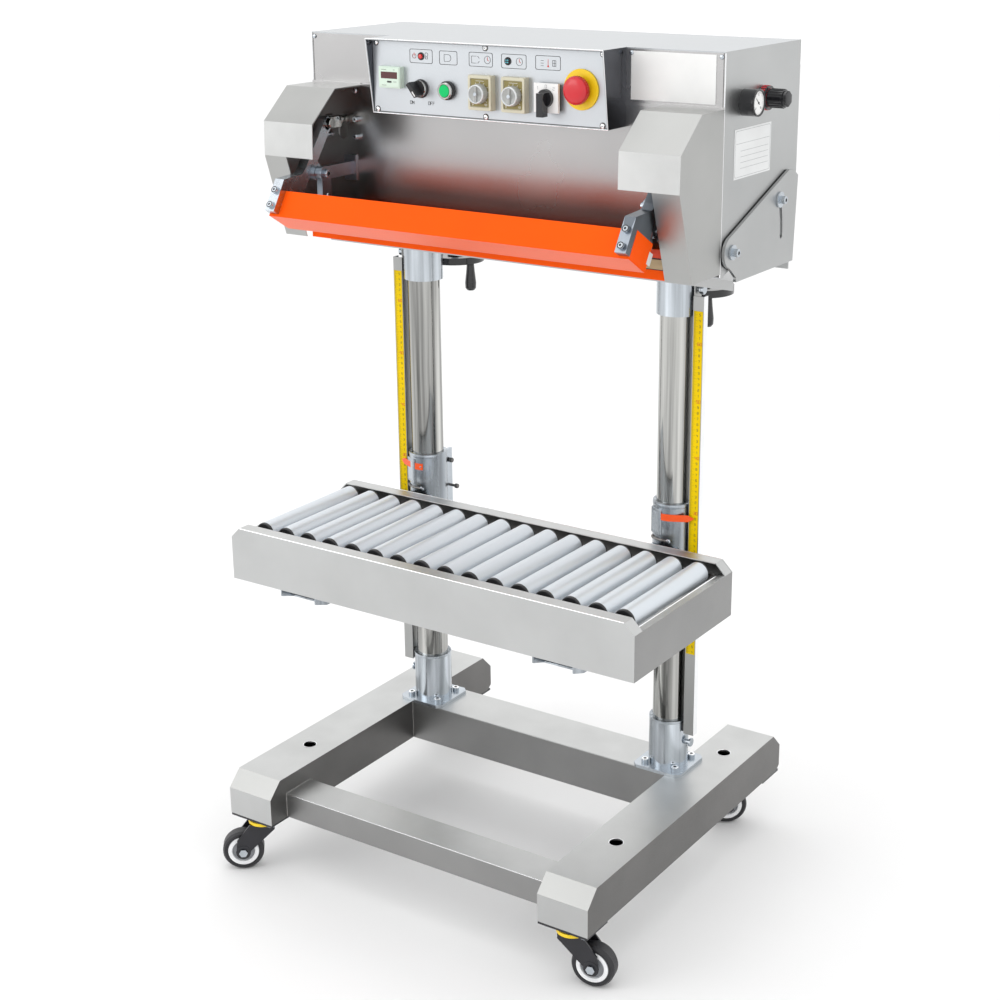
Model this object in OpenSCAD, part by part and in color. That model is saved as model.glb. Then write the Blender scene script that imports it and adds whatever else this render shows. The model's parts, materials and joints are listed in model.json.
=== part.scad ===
// Bench-height jaw heat sealer on a wheeled stand with a roller tray.
// Millimetres, +Z up, -Y is the operator's side, X = 0 is the middle plane, Z = 0 is the floor.

/* [Base] */
// Height of the leg undersides above the floor
base_z = 108; // [106:1:112]
// Half distance between the two legs' centre lines
leg_x = 334.2; // [330:0.1:338]
// Width of a leg tube
leg_w = 97; // [90:1:100]
// Height of a leg tube
leg_h = 79; // [76:1:82]
// Front end of the legs
leg_y0 = -384; // [-390:1:-382]
// Rear end of the legs
leg_y1 = 312; // [310:1:320]
// Depth of the cut corners at the leg ends
leg_cut = 28; // [20:1:30]
// Wall of the leg and cross tubes
tube_wall = 3; // [2:0.5:4]
// Front hole position on the leg tops
leg_hole_y0 = -214.5; // [-220:0.5:-210]
// Rear hole position on the leg tops
leg_hole_y1 = 175; // [170:0.5:180]
// Radius of the leg top holes
leg_hole_r = 11.75; // [8:0.25:14]
// Front face of the rear cross tube
rear_tube_y = 41.5; // [38:0.5:44]
// Depth of the rear cross tube
rear_tube_d = 97; // [90:1:100]
// Front face of the front cross tube
front_tube_y = -340.7; // [-344:0.1:-336]
// Depth of the front cross tube
front_tube_d = 66.5; // [60:0.5:70]
// Height of the front cross tube
front_tube_h = 47; // [40:1:50]

/* [Casters] */
// Wheel diameter
wheel_d = 75; // [70:1:76]
// Wheel width
wheel_w = 28; // [24:1:30]
// Hub radius inside the tyre
hub_r = 29; // [26:1:31]
// Swivel offset of the wheel axle
trail = 39; // [39:0.5:41]
// Front swivel position
caster_y0 = -352; // [-354:1:-350]
// Rear swivel position
caster_y1 = 279; // [276:1:281]
// Swivel angle of each wheel at rest, front right, front left, rear right, rear left
caster_turn = [11.6, 219.7, 214, 200];
// Margin between the side of a caster plate and the side of the leg
plate_edge = 1; // [0:0.5:3]
// Mounting plate depth
plate_d = 64; // [60:1:64]

/* [Columns] */
// Half distance between the columns
col_x = 266; // [264:0.5:268]
// Position of the columns front to back
col_y = 86; // [84:0.5:88]
// Column tube outside diameter
col_d = 60; // [58:1:60]
// Column tube wall
col_wall = 3; // [2.5:0.5:4]
// Top of the columns
col_top = 1100; // [1098:1:1102]
// Outside diameter of every collar on a column
collar_d = 72; // [70:1:72]
// Top of the foot collar
foot_z = 285; // [280:1:290]
// Bottom of the top collar
socket_z = 1030; // [1024:1:1034]
// Foot plate side
foot_w = 98; // [94:1:98]
// Width of the slot in the back of each column
col_slot_w = 12; // [11.5:0.5:14]

/* [Scales] */
// Half distance between the scale rails
scale_x = 314; // [313:0.5:316]
// Front face of the scale rails
scale_y = 71; // [71:0.5:73]
// Rail width
scale_w = 20; // [18:1:20]
// Rail bottom
scale_z0 = 262; // [260:1:264]
// Rail top
scale_z1 = 1066; // [1060:1:1070]
// Tape width
tape_w = 17; // [14:1:18]
// Tape bottom
tape_z0 = 420; // [400:1:440]
// Tape top
tape_z1 = 1041; // [1030:1:1050]

/* [Tray] */
// Half width of the roller tray
tray_x = 416; // [410:1:420]
// Front face of the tray
tray_y0 = -304; // [-310:1:-300]
// Rear face of the tray
tray_y1 = 23; // [18:1:24]
// Bottom of the tray
tray_z0 = 535; // [533:1:537]
// Top of the tray rails
tray_z1 = 633; // [630:1:634]
// Sheet thickness of the tray
tray_t = 2.5; // [2:0.5:3]
// Cut corner of the tray rails
tray_cut = 18.7; // [14:0.1:22]
// Width of the rail flanges
tray_flange = 25; // [20:1:26]
// Number of rollers
roller_n = 16; // [16:1:16]
// Distance from roller to roller
roller_pitch = 49.73; // [46:0.01:49.9]
// Roller diameter
roller_d = 38; // [34:1:40]
// Front end of the rollers
roller_y0 = -262; // [-264:1:-258]
// Rear end of the rollers
roller_y1 = -17; // [-19:1:-15]
// Height of the roller axles
roller_z = 616.5; // [614:0.5:617]
// Roller axle diameter
axle_d = 10; // [8:1:12]

/* [Lift] */
// Top of the sliding sleeves
sleeve_z1 = 698; // [694:1:700]
// Width of the tray arms
arm_w = 80; // [76:1:84]
// Underside of the tray arms
arm_z = 514; // [510:1:518]
// Lift screw diameter
screw_d = 20; // [16:1:22]
// Half distance between the handwheels
wheel_x = 262; // [260:0.5:268]
// Position of the handwheels front to back
wheel_y = 180; // [176:1:180]
// Handwheel rim radius
rim_r = 55; // [50:1:57]
// Underside of the handwheel rim
rim_z = 1048; // [1044:1:1052]
// Handwheel spindle diameter
spindle_d = 14; // [12:1:16]
// Handle length
handle_l = 51; // [45:1:55]
// Pulley radius on screw and spindle
pulley_r = 17; // [15:0.5:17.5]

/* [Cradle] */
// Half width over the ears
cradle_x = 414; // [413.5:0.5:415]
// Thickness of the ears
ear_t = 5; // [4:0.5:5]
// Rear edge of the ears
ear_y1 = 222; // [221:0.5:223]
// Top of the ears
ear_z1 = 1268; // [1266:1:1270]
// Depth of the cradle channel
cradle_d = 205; // [204:1:208]
// Height of the cradle channel
cradle_h = 16; // [16:1:18]
// Sheet of the cradle channel
cradle_t = 3; // [2.5:0.5:3]
// Tilt pivot front to back
pivot_y = -10; // [-11:0.5:-9]
// Tilt pivot height
pivot_z = 1164; // [1163:0.5:1165]
// Distance of the slot from the tilt pivot
tilt_r = 175; // [174:0.5:176]
// Tilt range in degrees
tilt_deg = 20; // [10:1:20]

/* [Head] */
// Half width of the head
head_x = 407; // [406:0.5:407]
// Front face of the head
head_y0 = -35; // [-36:0.5:-34]
// Rear face of the head
head_y1 = 228; // [226:1:230]
// Lowest edge of the head
head_z0 = 1125; // [1124:1:1128]
// Bottom of the head at the rear
head_zr = 1240; // [1236:1:1244]
// Top of the head
head_z1 = 1474; // [1470:1:1478]
// Sheet of the head
head_t = 2; // [1.5:0.5:2.5]
// Lower hem of the front cover
cover_z = 1385; // [1383:1:1387]
// Half width of the control hood
hood_x = 232; // [230:1:236]
// Bottom of the control hood
hood_z = 1351; // [1349:1:1353]
// Front edge of the hood at the top
hood_y1 = -106; // [-108:1:-104]
// Front edge of the hood at the bottom
hood_y0 = -89; // [-91:1:-88]
// Front face of the control panel plate
panel_y = -88; // [-88:0.5:-86]

/* [Guards] */
// Inner side of the arm guards
guard_x0 = 300; // [298:1:304]
// Inner side of the narrow lower strip
guard_x1 = 359; // [358:1:362]
// Height where the guard narrows
guard_z = 1276; // [1272:1:1280]
// Sheet of the guards
guard_t = 2; // [1.5:0.5:2.5]
// Front of the guards
guard_y0 = -173; // [-176:1:-172]
// Front edge of the guards' flat top
guard_top_y = -107; // [-112:1:-104]
// Front edge of the guards' foot
guard_foot_y = -127; // [-130:1:-124]
// Top of the guards
guard_z1 = 1388; // [1387:0.5:1390]
// Height where the guards' slope meets the front
guard_knee_z = 1334; // [1330:1:1338]
// Bottom of the guards
guard_z0 = 1132; // [1130:1:1134]

/* [Jaws] */
// Half length of both jaws
jaw_x = 354; // [350:1:354]
// Front face of the fixed jaw
fixed_y = -118; // [-118.5:0.1:-117.5]
// Bottom of the fixed jaw
fixed_z0 = 1131; // [1129:1:1133]
// Top of the fixed jaw
fixed_z1 = 1179; // [1177:1:1179.5]
// Thickness of the fixed jaw
fixed_d = 40; // [30:1:42]
// Height of the sealing band
band_h = 15; // [12:1:15]
// How far the band stands proud
band_t = 0.6; // [0.4:0.1:0.8]
// Depth of the moving jaw
jaw_d = 56; // [52:1:56]
// Height of the moving jaw
jaw_h = 47; // [44:1:47]
// Bottom of the moving jaw when closed
jaw_z0 = 1135; // [1134:0.5:1136]
// Height of the silicone strip
strip_h = 18; // [15:1:18]
// How far the silicone strip stands proud
strip_t = 7; // [6:0.5:7]
// Fulcrum height
fulcrum_z = 1244; // [1243:0.5:1245]
// Opening angle of the moving jaw
jaw_open = 31.5; // [20:0.5:31.5]
// Inner side of the jaw arms
arm_x0 = 334.5; // [334:0.5:335]
// Thickness of the jaw arms
jaw_arm_t = 19.5; // [18:0.5:19.5]
// Width of the upright part of the jaw arms
jaw_arm_w = 21; // [20:0.5:24]
// Radius of the pin that drives each arm
drive_pin_r = 4; // [3.5:0.5:4]
// Height of the cylinder rods
rod_z = 1326; // [1325:0.5:1327]
// Cylinder rod diameter
rod_d = 12; // [10:1:12]
// Cylinder barrel diameter
barrel_d = 50; // [46:1:52]

/* [Panel] */
// Height of the row of controls
row_z = 1395.5; // [1393:0.5:1397]
// Sideways position of the meter
meter_x = -187.5; // [-190:0.5:-185]
// Sideways position of the selector
selector_x = -130.5; // [-132:0.5:-129]
// Lean of the selector grip from upright
selector_lean = 39; // [30:1:45]
// Sideways position of the start button
start_x = -75.2; // [-77:0.1:-73]
// Sideways positions of the two timers
timer_x = [-3.5, 61.5];
// Sideways positions of the two pilot lamps
lamp_x = [-129, 44];
// Height of the pilot lamps above the row of controls
lamp_rise = 52.5; // [50:0.5:54]
// Sideways position of the cam switch
cam_x = 124; // [122:0.5:126]
// Sideways position of the emergency stop
stop_x = 183; // [181:0.5:184]
// Height of the emergency stop
stop_z = 1411; // [1408:0.5:1413]
// Radius of the emergency stop disc
stop_r = 32; // [30:0.5:33]

/* [Air] */
// Front to back position of the gauge
gauge_y = 30; // [26:1:34]
// Height of the gauge
gauge_z = 1393; // [1390:0.5:1396]
// Gauge case radius
gauge_r = 21; // [18:0.5:22]
// Gauge case depth
gauge_d = 24; // [20:1:26]
// Front to back position of the regulator
reg_y = 93; // [90:1:96]
// Height of the regulator
reg_z = 1394; // [1392:0.5:1396]

// Inner end of the air valve block
valve_x = 340; // [336:1:344]
// Sideways position of the rear inlet and of the cable gland
inlet_x = 300; // [296:1:304]
// Height of the rear inlet and of the cable gland
inlet_z = 1420; // [1418:1:1422]
// Sideways position of the transformer
coil_x = 180; // [170:1:190]
// Front of the transformer
coil_y = 60; // [56:1:64]
// Height of the transformer's middle
coil_z = 1340; // [1336:1:1344]

/* [Fits] */
// Radial clearance of every running fit
fit = 0.05; // [0.02:0.01:0.08]
// Gap between faces on different bodies
gap = 0.3; // [0.3:0.05:0.4]

/* [Hidden] */
$fn = 64;
leg_z1 = base_z + leg_h;
leg_in = leg_x - leg_w / 2;
skew = tube_wall * 0.41;
plate_t = 4;
plate_w = leg_w - 2 * plate_edge;
plate_bolt_in = 12;
plate_bolt_x = plate_w / 2 - plate_bolt_in;
plate_bolt_y = plate_d / 2 - plate_bolt_in;
race_z = base_z - plate_t;
crown_z1 = race_z - 12;
crown_z0 = crown_z1 - 4;
wheel_r = wheel_d / 2;
pin_r = 6;
fork_in = wheel_w / 2 + 2;
fork_out = fork_in + 3;
hub_bore_r = 5 + fit;
col_r = col_d / 2;
col_ri = col_r - col_wall;
collar_r = collar_d / 2;
foot_t = 6;
foot_cut = 9;
foot_screw = foot_w / 2 - 18;
screw_r = screw_d / 2;
tray_end_z = tray_z1 - tray_cut;
tray_top_x = tray_x - tray_cut;
axle_r = axle_d / 2;
bar_y0 = roller_y0 - 13;
bar_y1 = roller_y1 + 13;
sleeve_z0 = tray_z0;
sleeve_ri = col_r + fit;
nut_z = sleeve_z0 + 60;
nut_h = 60;
cradle_top = col_top + cradle_h;
deck_z1 = col_top + 4;
pulley_z = deck_z1 + 1.5;
pulley_h = 6;
belt_ri = pulley_r + gap;
belt_ro = belt_ri + 2.5;
ear_in = cradle_x - ear_t;
flange_x = ear_in + 2;
tilt_rest = tilt_deg;
slot_bolt_r = 4;
slot_r = 4.5;
pivot_bolt_r = 6;
head_in = head_x - head_t;
closed_y = fixed_y - band_t - gap;
jaw_y1 = closed_y - strip_t;
jaw_y0 = jaw_y1 - jaw_d;
jaw_z1 = jaw_z0 + jaw_h;
arm_x1 = arm_x0 + jaw_arm_t;
arm_xc = (arm_x0 + arm_x1) / 2;
arm_tilt = 10.8;
arm_lean = 4.75;
arm_hub_r = 13;
arm_len = (rod_z - fulcrum_z) / sin(90 + arm_tilt - jaw_open);
pin_open_y = fixed_y + (rod_z - fulcrum_z) / tan(90 + arm_tilt - jaw_open);
arm_slot_w = 2 * drive_pin_r + 3.2;
clevis_y1 = pin_open_y + 30;
rod_r = rod_d / 2;
barrel_r = barrel_d / 2;
barrel_ri = barrel_r - 3;
bar_x0 = arm_x0 - 12.5;
bar_x1 = arm_x0 - 0.5;
button_gap = 4;

// Node to draw, or all of them

// A thing on the right and its mirror image on the left
module both() {
  children();
  mirror([1, 0, 0]) children();
}

// Box from corner to corner
module slab(a, b) {
  translate(a) cube([b[0] - a[0], b[1] - a[1], b[2] - a[2]]);
}

// Side profile in Y and Z, drawn from x0 to x1
module side_plate(points, x0, x1) {
  translate([x0, 0, 0]) rotate([90, 0, 90]) linear_extrude(x1 - x0) polygon(points);
}

// Cylinder along +X
module rod_x(x0, x1, y, z, r) {
  translate([x0, y, z]) rotate([0, 90, 0]) cylinder(h = x1 - x0, r = r);
}

// Cylinder along +Y
module rod_y(y0, y1, x, z, r) {
  translate([x, y0, z]) rotate([-90, 0, 0]) cylinder(h = y1 - y0, r = r);
}

// Cylinder along +Z
module rod_z(z0, z1, x, y, r) {
  translate([x, y, z0]) cylinder(h = z1 - z0, r = r);
}

// Hexagon head along +X
module hex_x(x0, x1, y, z, r) {
  translate([x0, y, z]) rotate([0, 90, 0]) cylinder(h = x1 - x0, r = r, $fn = 6);
}

// Leg profile, drawn smaller by the amount d on every side
function leg_profile(d, k) = [
  [leg_y0 + d, base_z + d], [leg_y0 + d, leg_z1 - leg_cut - k],
  [leg_y0 + leg_cut + k, leg_z1 - d], [leg_y1 - leg_cut - k, leg_z1 - d],
  [leg_y1 - d, leg_z1 - leg_cut - k], [leg_y1 - d, base_z + 9 + k],
  [leg_y1 - 12 - k, base_z + d]];

module base_frame() {
  color([0.62, 0.61, 0.58]) difference() {
    union() {
      both() side_plate(leg_profile(0, 0), leg_in, leg_in + leg_w);
      slab([-leg_in, rear_tube_y, base_z], [leg_in, rear_tube_y + rear_tube_d, leg_z1]);
      slab([-leg_in, front_tube_y, base_z],
        [leg_in, front_tube_y + front_tube_d, base_z + front_tube_h]);
    }
    both() side_plate(leg_profile(tube_wall, skew), leg_in + tube_wall,
      leg_in + leg_w - tube_wall);
    slab([-leg_in, rear_tube_y + tube_wall, base_z + tube_wall],
      [leg_in, rear_tube_y + rear_tube_d - tube_wall, leg_z1 - tube_wall]);
    slab([-leg_in, front_tube_y + tube_wall, base_z + tube_wall],
      [leg_in, front_tube_y + front_tube_d - tube_wall, base_z + front_tube_h - tube_wall]);
    both() for (y = [leg_hole_y0, leg_hole_y1])
      rod_z(leg_z1 - tube_wall - 1, leg_z1 + 1, leg_x, y, leg_hole_r);
    both() for (y = [caster_y0, caster_y1]) caster_bolt_holes(y, base_z - 1, base_z + 5);
  }
}

// Centres of the four bolts of one caster plate
module caster_bolt_holes(y, z0, z1) {
  for (dx = [-plate_bolt_x, plate_bolt_x]) for (dy = [-plate_bolt_y, plate_bolt_y])
    rod_z(z0, z1, leg_x + dx, y + dy, 4);
}

// One mounting plate with its raceway, king pin and retaining nut
module caster_plate(y) {
  difference() {
    union() {
      slab([leg_x - plate_w / 2, y - plate_d / 2, race_z],
        [leg_x + plate_w / 2, y + plate_d / 2, base_z]);
      rod_z(crown_z1 + 6 + gap, race_z, leg_x, y, 25);
      rod_z(crown_z0 - gap, race_z, leg_x, y, pin_r);
      rod_z(crown_z0 - gap - 6, crown_z0 - gap, leg_x, y, 10);
    }
    caster_bolt_holes(y, race_z - 1, base_z + 1);
  }
  for (dx = [-plate_bolt_x, plate_bolt_x]) for (dy = [-plate_bolt_y, plate_bolt_y]) {
    rod_z(race_z, base_z + 4, leg_x + dx, y + dy, 4);
    translate([leg_x + dx, y + dy, race_z - 5]) cylinder(h = 5, r = 7, $fn = 6);
  }
}

module caster_plates() {
  color([0.12, 0.12, 0.12]) both() {
    caster_plate(caster_y0);
    caster_plate(caster_y1);
  }
}

// Places a caster part at its swivel axis, turned to its rest angle
module at_caster(i) {
  x = (i == 0 || i == 2) ? leg_x : -leg_x;
  y = (i < 2) ? caster_y0 : caster_y1;
  translate([x, y, 0]) rotate([0, 0, caster_turn[i]]) children();
}

// Fork with crown, two cheeks, swivel ring and wheel axle, wheel trailing along +X
module fork() {
  cheek = [[-20, crown_z1], [25, crown_z1], [trail + 10, wheel_r + 24],
    [trail + 13, wheel_r], [trail + 8, wheel_r - 12], [trail - 8, wheel_r - 12],
    [trail - 14, wheel_r + 2], [-20, crown_z0 - 6]];
  difference() {
    union() {
      slab([-20, -fork_out, crown_z0], [25, fork_out, crown_z1]);
      for (s = [-fork_out, fork_in])
        translate([0, s + 3, 0]) rotate([90, 0, 0]) linear_extrude(3) polygon(cheek);
    }
    rod_z(crown_z0 - 1, crown_z1 + 1, 0, 0, pin_r + fit);
    rod_y(-fork_out - 1, fork_out + 1, trail, wheel_r, 5);
  }
  difference() {
    rod_z(crown_z1, crown_z1 + 6, 0, 0, 27.5);
    rod_z(crown_z1 - 1, crown_z1 + 7, 0, 0, 20);
  }
  rod_y(-fork_out, fork_out, trail, wheel_r, 5);
  for (y = [-fork_out - 5, fork_out])
    translate([trail, y, wheel_r]) rotate([-90, 0, 0]) cylinder(h = 5, r = 8, $fn = 6);
}

module fork_fr() { color([0.1, 0.1, 0.1]) at_caster(0) fork(); }
module fork_fl() { color([0.1, 0.1, 0.1]) at_caster(1) fork(); }
module fork_rr() { color([0.1, 0.1, 0.1]) at_caster(2) fork(); }
module fork_rl() { color([0.1, 0.1, 0.1]) at_caster(3) fork(); }

// Tyre and hub with a plain bearing bore
module wheel() {
  half = wheel_w / 2;
  translate([trail, 0, wheel_r]) rotate([90, 0, 0]) {
    rotate_extrude() polygon([[hub_r, -half], [wheel_r - 3, -half], [wheel_r, -half + 5],
      [wheel_r, half - 5], [wheel_r - 3, half], [hub_r, half]]);
    rotate_extrude() polygon([[hub_bore_r, -half - 1.5], [12, -half - 1.5], [12, -half + 5],
      [hub_r, -half + 5], [hub_r, half - 5], [12, half - 5], [12, half + 1.5],
      [hub_bore_r, half + 1.5]]);
  }
}

module wheel_fr() { color([0.2, 0.2, 0.2]) at_caster(0) wheel(); }
module wheel_fl() { color([0.2, 0.2, 0.2]) at_caster(1) wheel(); }
module wheel_rr() { color([0.2, 0.2, 0.2]) at_caster(2) wheel(); }
module wheel_rl() { color([0.2, 0.2, 0.2]) at_caster(3) wheel(); }

// Polished tubes, slotted at the back for the lift nut's key
module columns() {
  color([0.85, 0.85, 0.86]) both() difference() {
    rod_z(leg_z1, col_top, col_x, col_y, col_r);
    rod_z(leg_z1 - 1, col_top + 1, col_x, col_y, col_ri);
    slab([col_x - col_slot_w / 2, col_y, foot_z + 5],
      [col_x + col_slot_w / 2, col_y + col_r + 1, socket_z - 5]);
  }
}

// Square of half width h with cut corners
module foot_outline(h) {
  c = h - foot_cut;
  polygon([[-h, -c], [-c, -h], [c, -h], [h, -c], [h, c], [c, h], [-c, h], [-h, c]]);
}

// Foot plate, foot collar, top collar, their screws and clips, and the two screw bearings
module column_collar() {
  difference() {
    union() {
      translate([col_x, col_y, leg_z1]) linear_extrude(foot_t) foot_outline(foot_w / 2);
      rod_z(leg_z1 + foot_t, foot_z, col_x, col_y, collar_r);
    }
    rod_z(leg_z1 - 1, foot_z + 1, col_x, col_y, col_r);
  }
  difference() {
    rod_z(socket_z, col_top, col_x, col_y, collar_r);
    rod_z(socket_z - 1, col_top + 1, col_x, col_y, col_r);
  }
  for (dx = [-foot_screw, foot_screw]) for (dy = [-foot_screw, foot_screw])
    rod_z(leg_z1 + foot_t, leg_z1 + foot_t + 6, col_x + dx, col_y + dy, 6.5);
  for (z = [foot_z - 12, socket_z + 20]) difference() {
    slab([col_x + collar_r - 6, scale_y + 2, z - 8], [scale_x + 6, scale_y + 12, z + 8]);
    rod_z(z - 9, z + 9, col_x, col_y, collar_r);
  }
  difference() {
    rod_z(leg_z1, leg_z1 + 25, col_x, col_y, col_ri);
    rod_z(leg_z1 + 10, leg_z1 + 26, col_x, col_y, screw_r + fit);
  }
  difference() {
    rod_z(col_top - 25, col_top, col_x, col_y, col_ri);
    rod_z(col_top - 26, col_top + 1, col_x, col_y, screw_r + fit);
  }
  set_screw(foot_z - 45);
  set_screw(socket_z + 45);
}

// Set screw with a round head on the outer side of a collar
module set_screw(z) {
  difference() {
    rod_x(col_x, col_x + collar_r + 8, col_y, z, 5);
    rod_z(z - 6, z + 6, col_x, col_y, collar_r);
  }
  rod_x(col_x + collar_r + 8, col_x + collar_r + 11, col_y, z, 8);
}

module column_collars() {
  color([0.7, 0.7, 0.7]) both() column_collar();
}

module scale_rails() {
  color([0.55, 0.56, 0.57]) both() side_angle();
}

// Angle section with one leg facing forward
module side_angle() {
  x0 = scale_x - scale_w / 2;
  x1 = scale_x + scale_w / 2;
  translate([0, 0, scale_z0]) linear_extrude(scale_z1 - scale_z0)
    polygon([[x0, scale_y], [x1, scale_y], [x1, scale_y + 14], [x1 - 2, scale_y + 14],
      [x1 - 2, scale_y + 2], [x0, scale_y + 2]]);
}

module scale_tapes() {
  color([0.93, 0.8, 0.12]) both()
    slab([scale_x - tape_w / 2, scale_y - 0.4, tape_z0],
      [scale_x + tape_w / 2, scale_y, tape_z1]);
}

// Ear outline around the tilt pivot
function ear_points() = [[7, cradle_top - cradle_t], [cradle_d + 8, cradle_top - cradle_t],
  [ear_y1, ear_z1 - 12.4], [ear_y1 - 18, ear_z1 - 1.5], [ear_y1 - 35, ear_z1],
  [pivot_y - 11, pivot_z + 23.5], [pivot_y - 16, pivot_z - 18], [pivot_y - 8, pivot_z - 24],
  [7, cradle_top + 4]];

// Ear with the pivot bore and the curved tilt slot
module ear() {
  difference() {
    union() {
      side_plate(ear_points(), ear_in, cradle_x);
      rod_x(ear_in, cradle_x, pivot_y, pivot_z, 26);
    }
    rod_x(ear_in - 1, cradle_x + 1, pivot_y, pivot_z, pivot_bolt_r + fit);
    translate([ear_in - 1, pivot_y, pivot_z]) rotate([90, 0, 90])
      rotate([0, 0, -0.5]) rotate_extrude(angle = tilt_deg + 1)
        translate([tilt_r - slot_r, 0]) square([2 * slot_r, ear_t + 2]);
    for (a = [-0.5, tilt_deg + 0.5])
      rod_x(ear_in - 1, cradle_x + 1, pivot_y + tilt_r * cos(a), pivot_z + tilt_r * sin(a),
        slot_r);
  }
}

// Channel on the column tops with a deck plate that carries the lift drive
module tilt_cradle() {
  color([0.66, 0.65, 0.62]) {
    difference() {
      union() {
        slab([-flange_x, 0, col_top], [flange_x, cradle_t, cradle_top]);
        slab([-flange_x, cradle_d - cradle_t, col_top], [flange_x, cradle_d, cradle_top]);
        slab([-ear_in, 0, cradle_top - cradle_t], [ear_in, cradle_d, cradle_top]);
        both() slab([col_x - 50, cradle_t, col_top],
          [col_x + 50, cradle_d - cradle_t, deck_z1]);
      }
      both() rod_z(col_top - 1, deck_z1 + 0.5, col_x, col_y, screw_r + 2);
      both() rod_z(col_top - 1, deck_z1 + 0.5, wheel_x, wheel_y, spindle_d / 2 + fit);
    }
    both() ear();
  }
}

// Outline of a belt around two pulleys of radius r
module belt_outline(r) {
  dx = wheel_x - col_x;
  dy = wheel_y - col_y;
  reach = sqrt(dx * dx + dy * dy);
  translate([col_x, col_y]) rotate(atan2(dy, dx)) {
    circle(r = r);
    translate([reach, 0]) circle(r = r);
    translate([0, -r]) square([reach, 2 * r]);
  }
}

module drive_belts() {
  color([0.1, 0.1, 0.1]) both() translate([0, 0, pulley_z]) linear_extrude(pulley_h)
    difference() {
      belt_outline(belt_ro);
      belt_outline(belt_ri);
    }
}

// Screw in the column, turned by a pulley under the cradle
module lift_screw() {
  rod_z(leg_z1 + 10 + gap, pulley_z, col_x, col_y, screw_r);
  rod_z(pulley_z, pulley_z + pulley_h, col_x, col_y, pulley_r);
}

module lift_screw_right() { color([0.75, 0.75, 0.75]) lift_screw(); }
module lift_screw_left() { color([0.75, 0.75, 0.75]) mirror([1, 0, 0]) lift_screw(); }

// Dished wheel with rim, hub, spindle with pulley, and hanging handle
module handwheel(turn) {
  translate([wheel_x, wheel_y, 0]) rotate([0, 0, turn]) {
    difference() {
      rod_z(rim_z, rim_z + 13, 0, 0, rim_r);
      rod_z(rim_z - 1, rim_z + 14, 0, 0, rim_r - 12);
    }
    rod_z(rim_z + 4, rim_z + 9, 0, 0, rim_r - 11);
    rod_z(rim_z, rim_z + 18, 0, 0, 14);
    rod_z(rim_z + 18, pulley_z, 0, 0, spindle_d / 2);
    rod_z(pulley_z, pulley_z + pulley_h, 0, 0, pulley_r);
    translate([rim_r - 12, 0, 0]) {
      rod_z(rim_z - 3, rim_z + 4, 0, 0, 5);
      translate([0, 0, rim_z - handle_l]) rotate_extrude()
        polygon([[0, 0], [7, 0], [10, 4], [10.5, 14], [8, 36], [7, handle_l - 3],
          [0, handle_l - 3]]);
    }
  }
}

module handwheel_right() { color([0.08, 0.08, 0.08]) handwheel(-48); }
module handwheel_left() {
  color([0.08, 0.08, 0.08]) translate([-2 * wheel_x, 0, 0]) handwheel(-13);
}

// Rails with inward flanges, end plates with a top lip, axle bars and the roller axles
module tray_frame() {
  rail = [[-tray_x, tray_z0], [tray_x, tray_z0], [tray_x, tray_end_z],
    [tray_top_x, tray_z1], [-tray_top_x, tray_z1], [-tray_x, tray_end_z]];
  color([0.66, 0.65, 0.61]) difference() {
    union() {
      for (y = [tray_y0 + tray_t, tray_y1])
        translate([0, y, 0]) rotate([90, 0, 0]) linear_extrude(tray_t) polygon(rail);
      for (y = [tray_y0, tray_y1 - tray_flange])
        slab([-tray_top_x, y, tray_z1 - tray_t], [tray_top_x, y + tray_flange, tray_z1]);
      for (y = [tray_y0, tray_y1 - 16])
        slab([-tray_x, y, tray_z0], [tray_x, y + 16, tray_z0 + tray_t]);
      both() slab([tray_x - tray_t, tray_y0, tray_z0], [tray_x, tray_y1, tray_end_z]);
      both() slab([tray_x - 14, tray_y0 + 1, tray_end_z - tray_t],
        [tray_x, tray_y1 - 1, tray_end_z]);
      for (y = [bar_y0, bar_y1 - 3])
        slab([-tray_x + 1, y, roller_z - 24], [tray_x - 1, y + 3, roller_z - 2]);
      for (y = [bar_y0, bar_y1 - 3]) for (i = [0:roller_n - 1])
        rod_y(y, y + 3, roller_at(i), roller_z, axle_r + 3);
    }
    for (i = [0:roller_n - 1])
      rod_y(tray_y0 + 5, tray_y1 - 5, roller_at(i), roller_z, axle_r);
  }
  color([0.7, 0.7, 0.7]) for (i = [0:roller_n - 1])
    rod_y(bar_y0 - 4, bar_y1 + 4, roller_at(i), roller_z, axle_r);
}

function roller_at(i) = (i - (roller_n - 1) / 2) * roller_pitch;

// Tube with two end caps, free on its axle
module roller(i) {
  translate([roller_at(i), roller_y0, roller_z]) rotate([-90, 0, 0]) {
    l = roller_y1 - roller_y0;
    difference() {
      translate([0, 0, 2]) cylinder(h = l - 4, d = roller_d);
      translate([0, 0, 1]) cylinder(h = l - 2, d = roller_d - 5);
    }
    for (z = [0, l - 14]) difference() {
      union() {
        translate([0, 0, z]) cylinder(h = 14, d = roller_d - 5);
        translate([0, 0, z == 0 ? 0 : l - 2]) cylinder(h = 2, d = roller_d - 1);
      }
      translate([0, 0, z - 1]) cylinder(h = 16, r = axle_r + fit);
    }
  }
}

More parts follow.
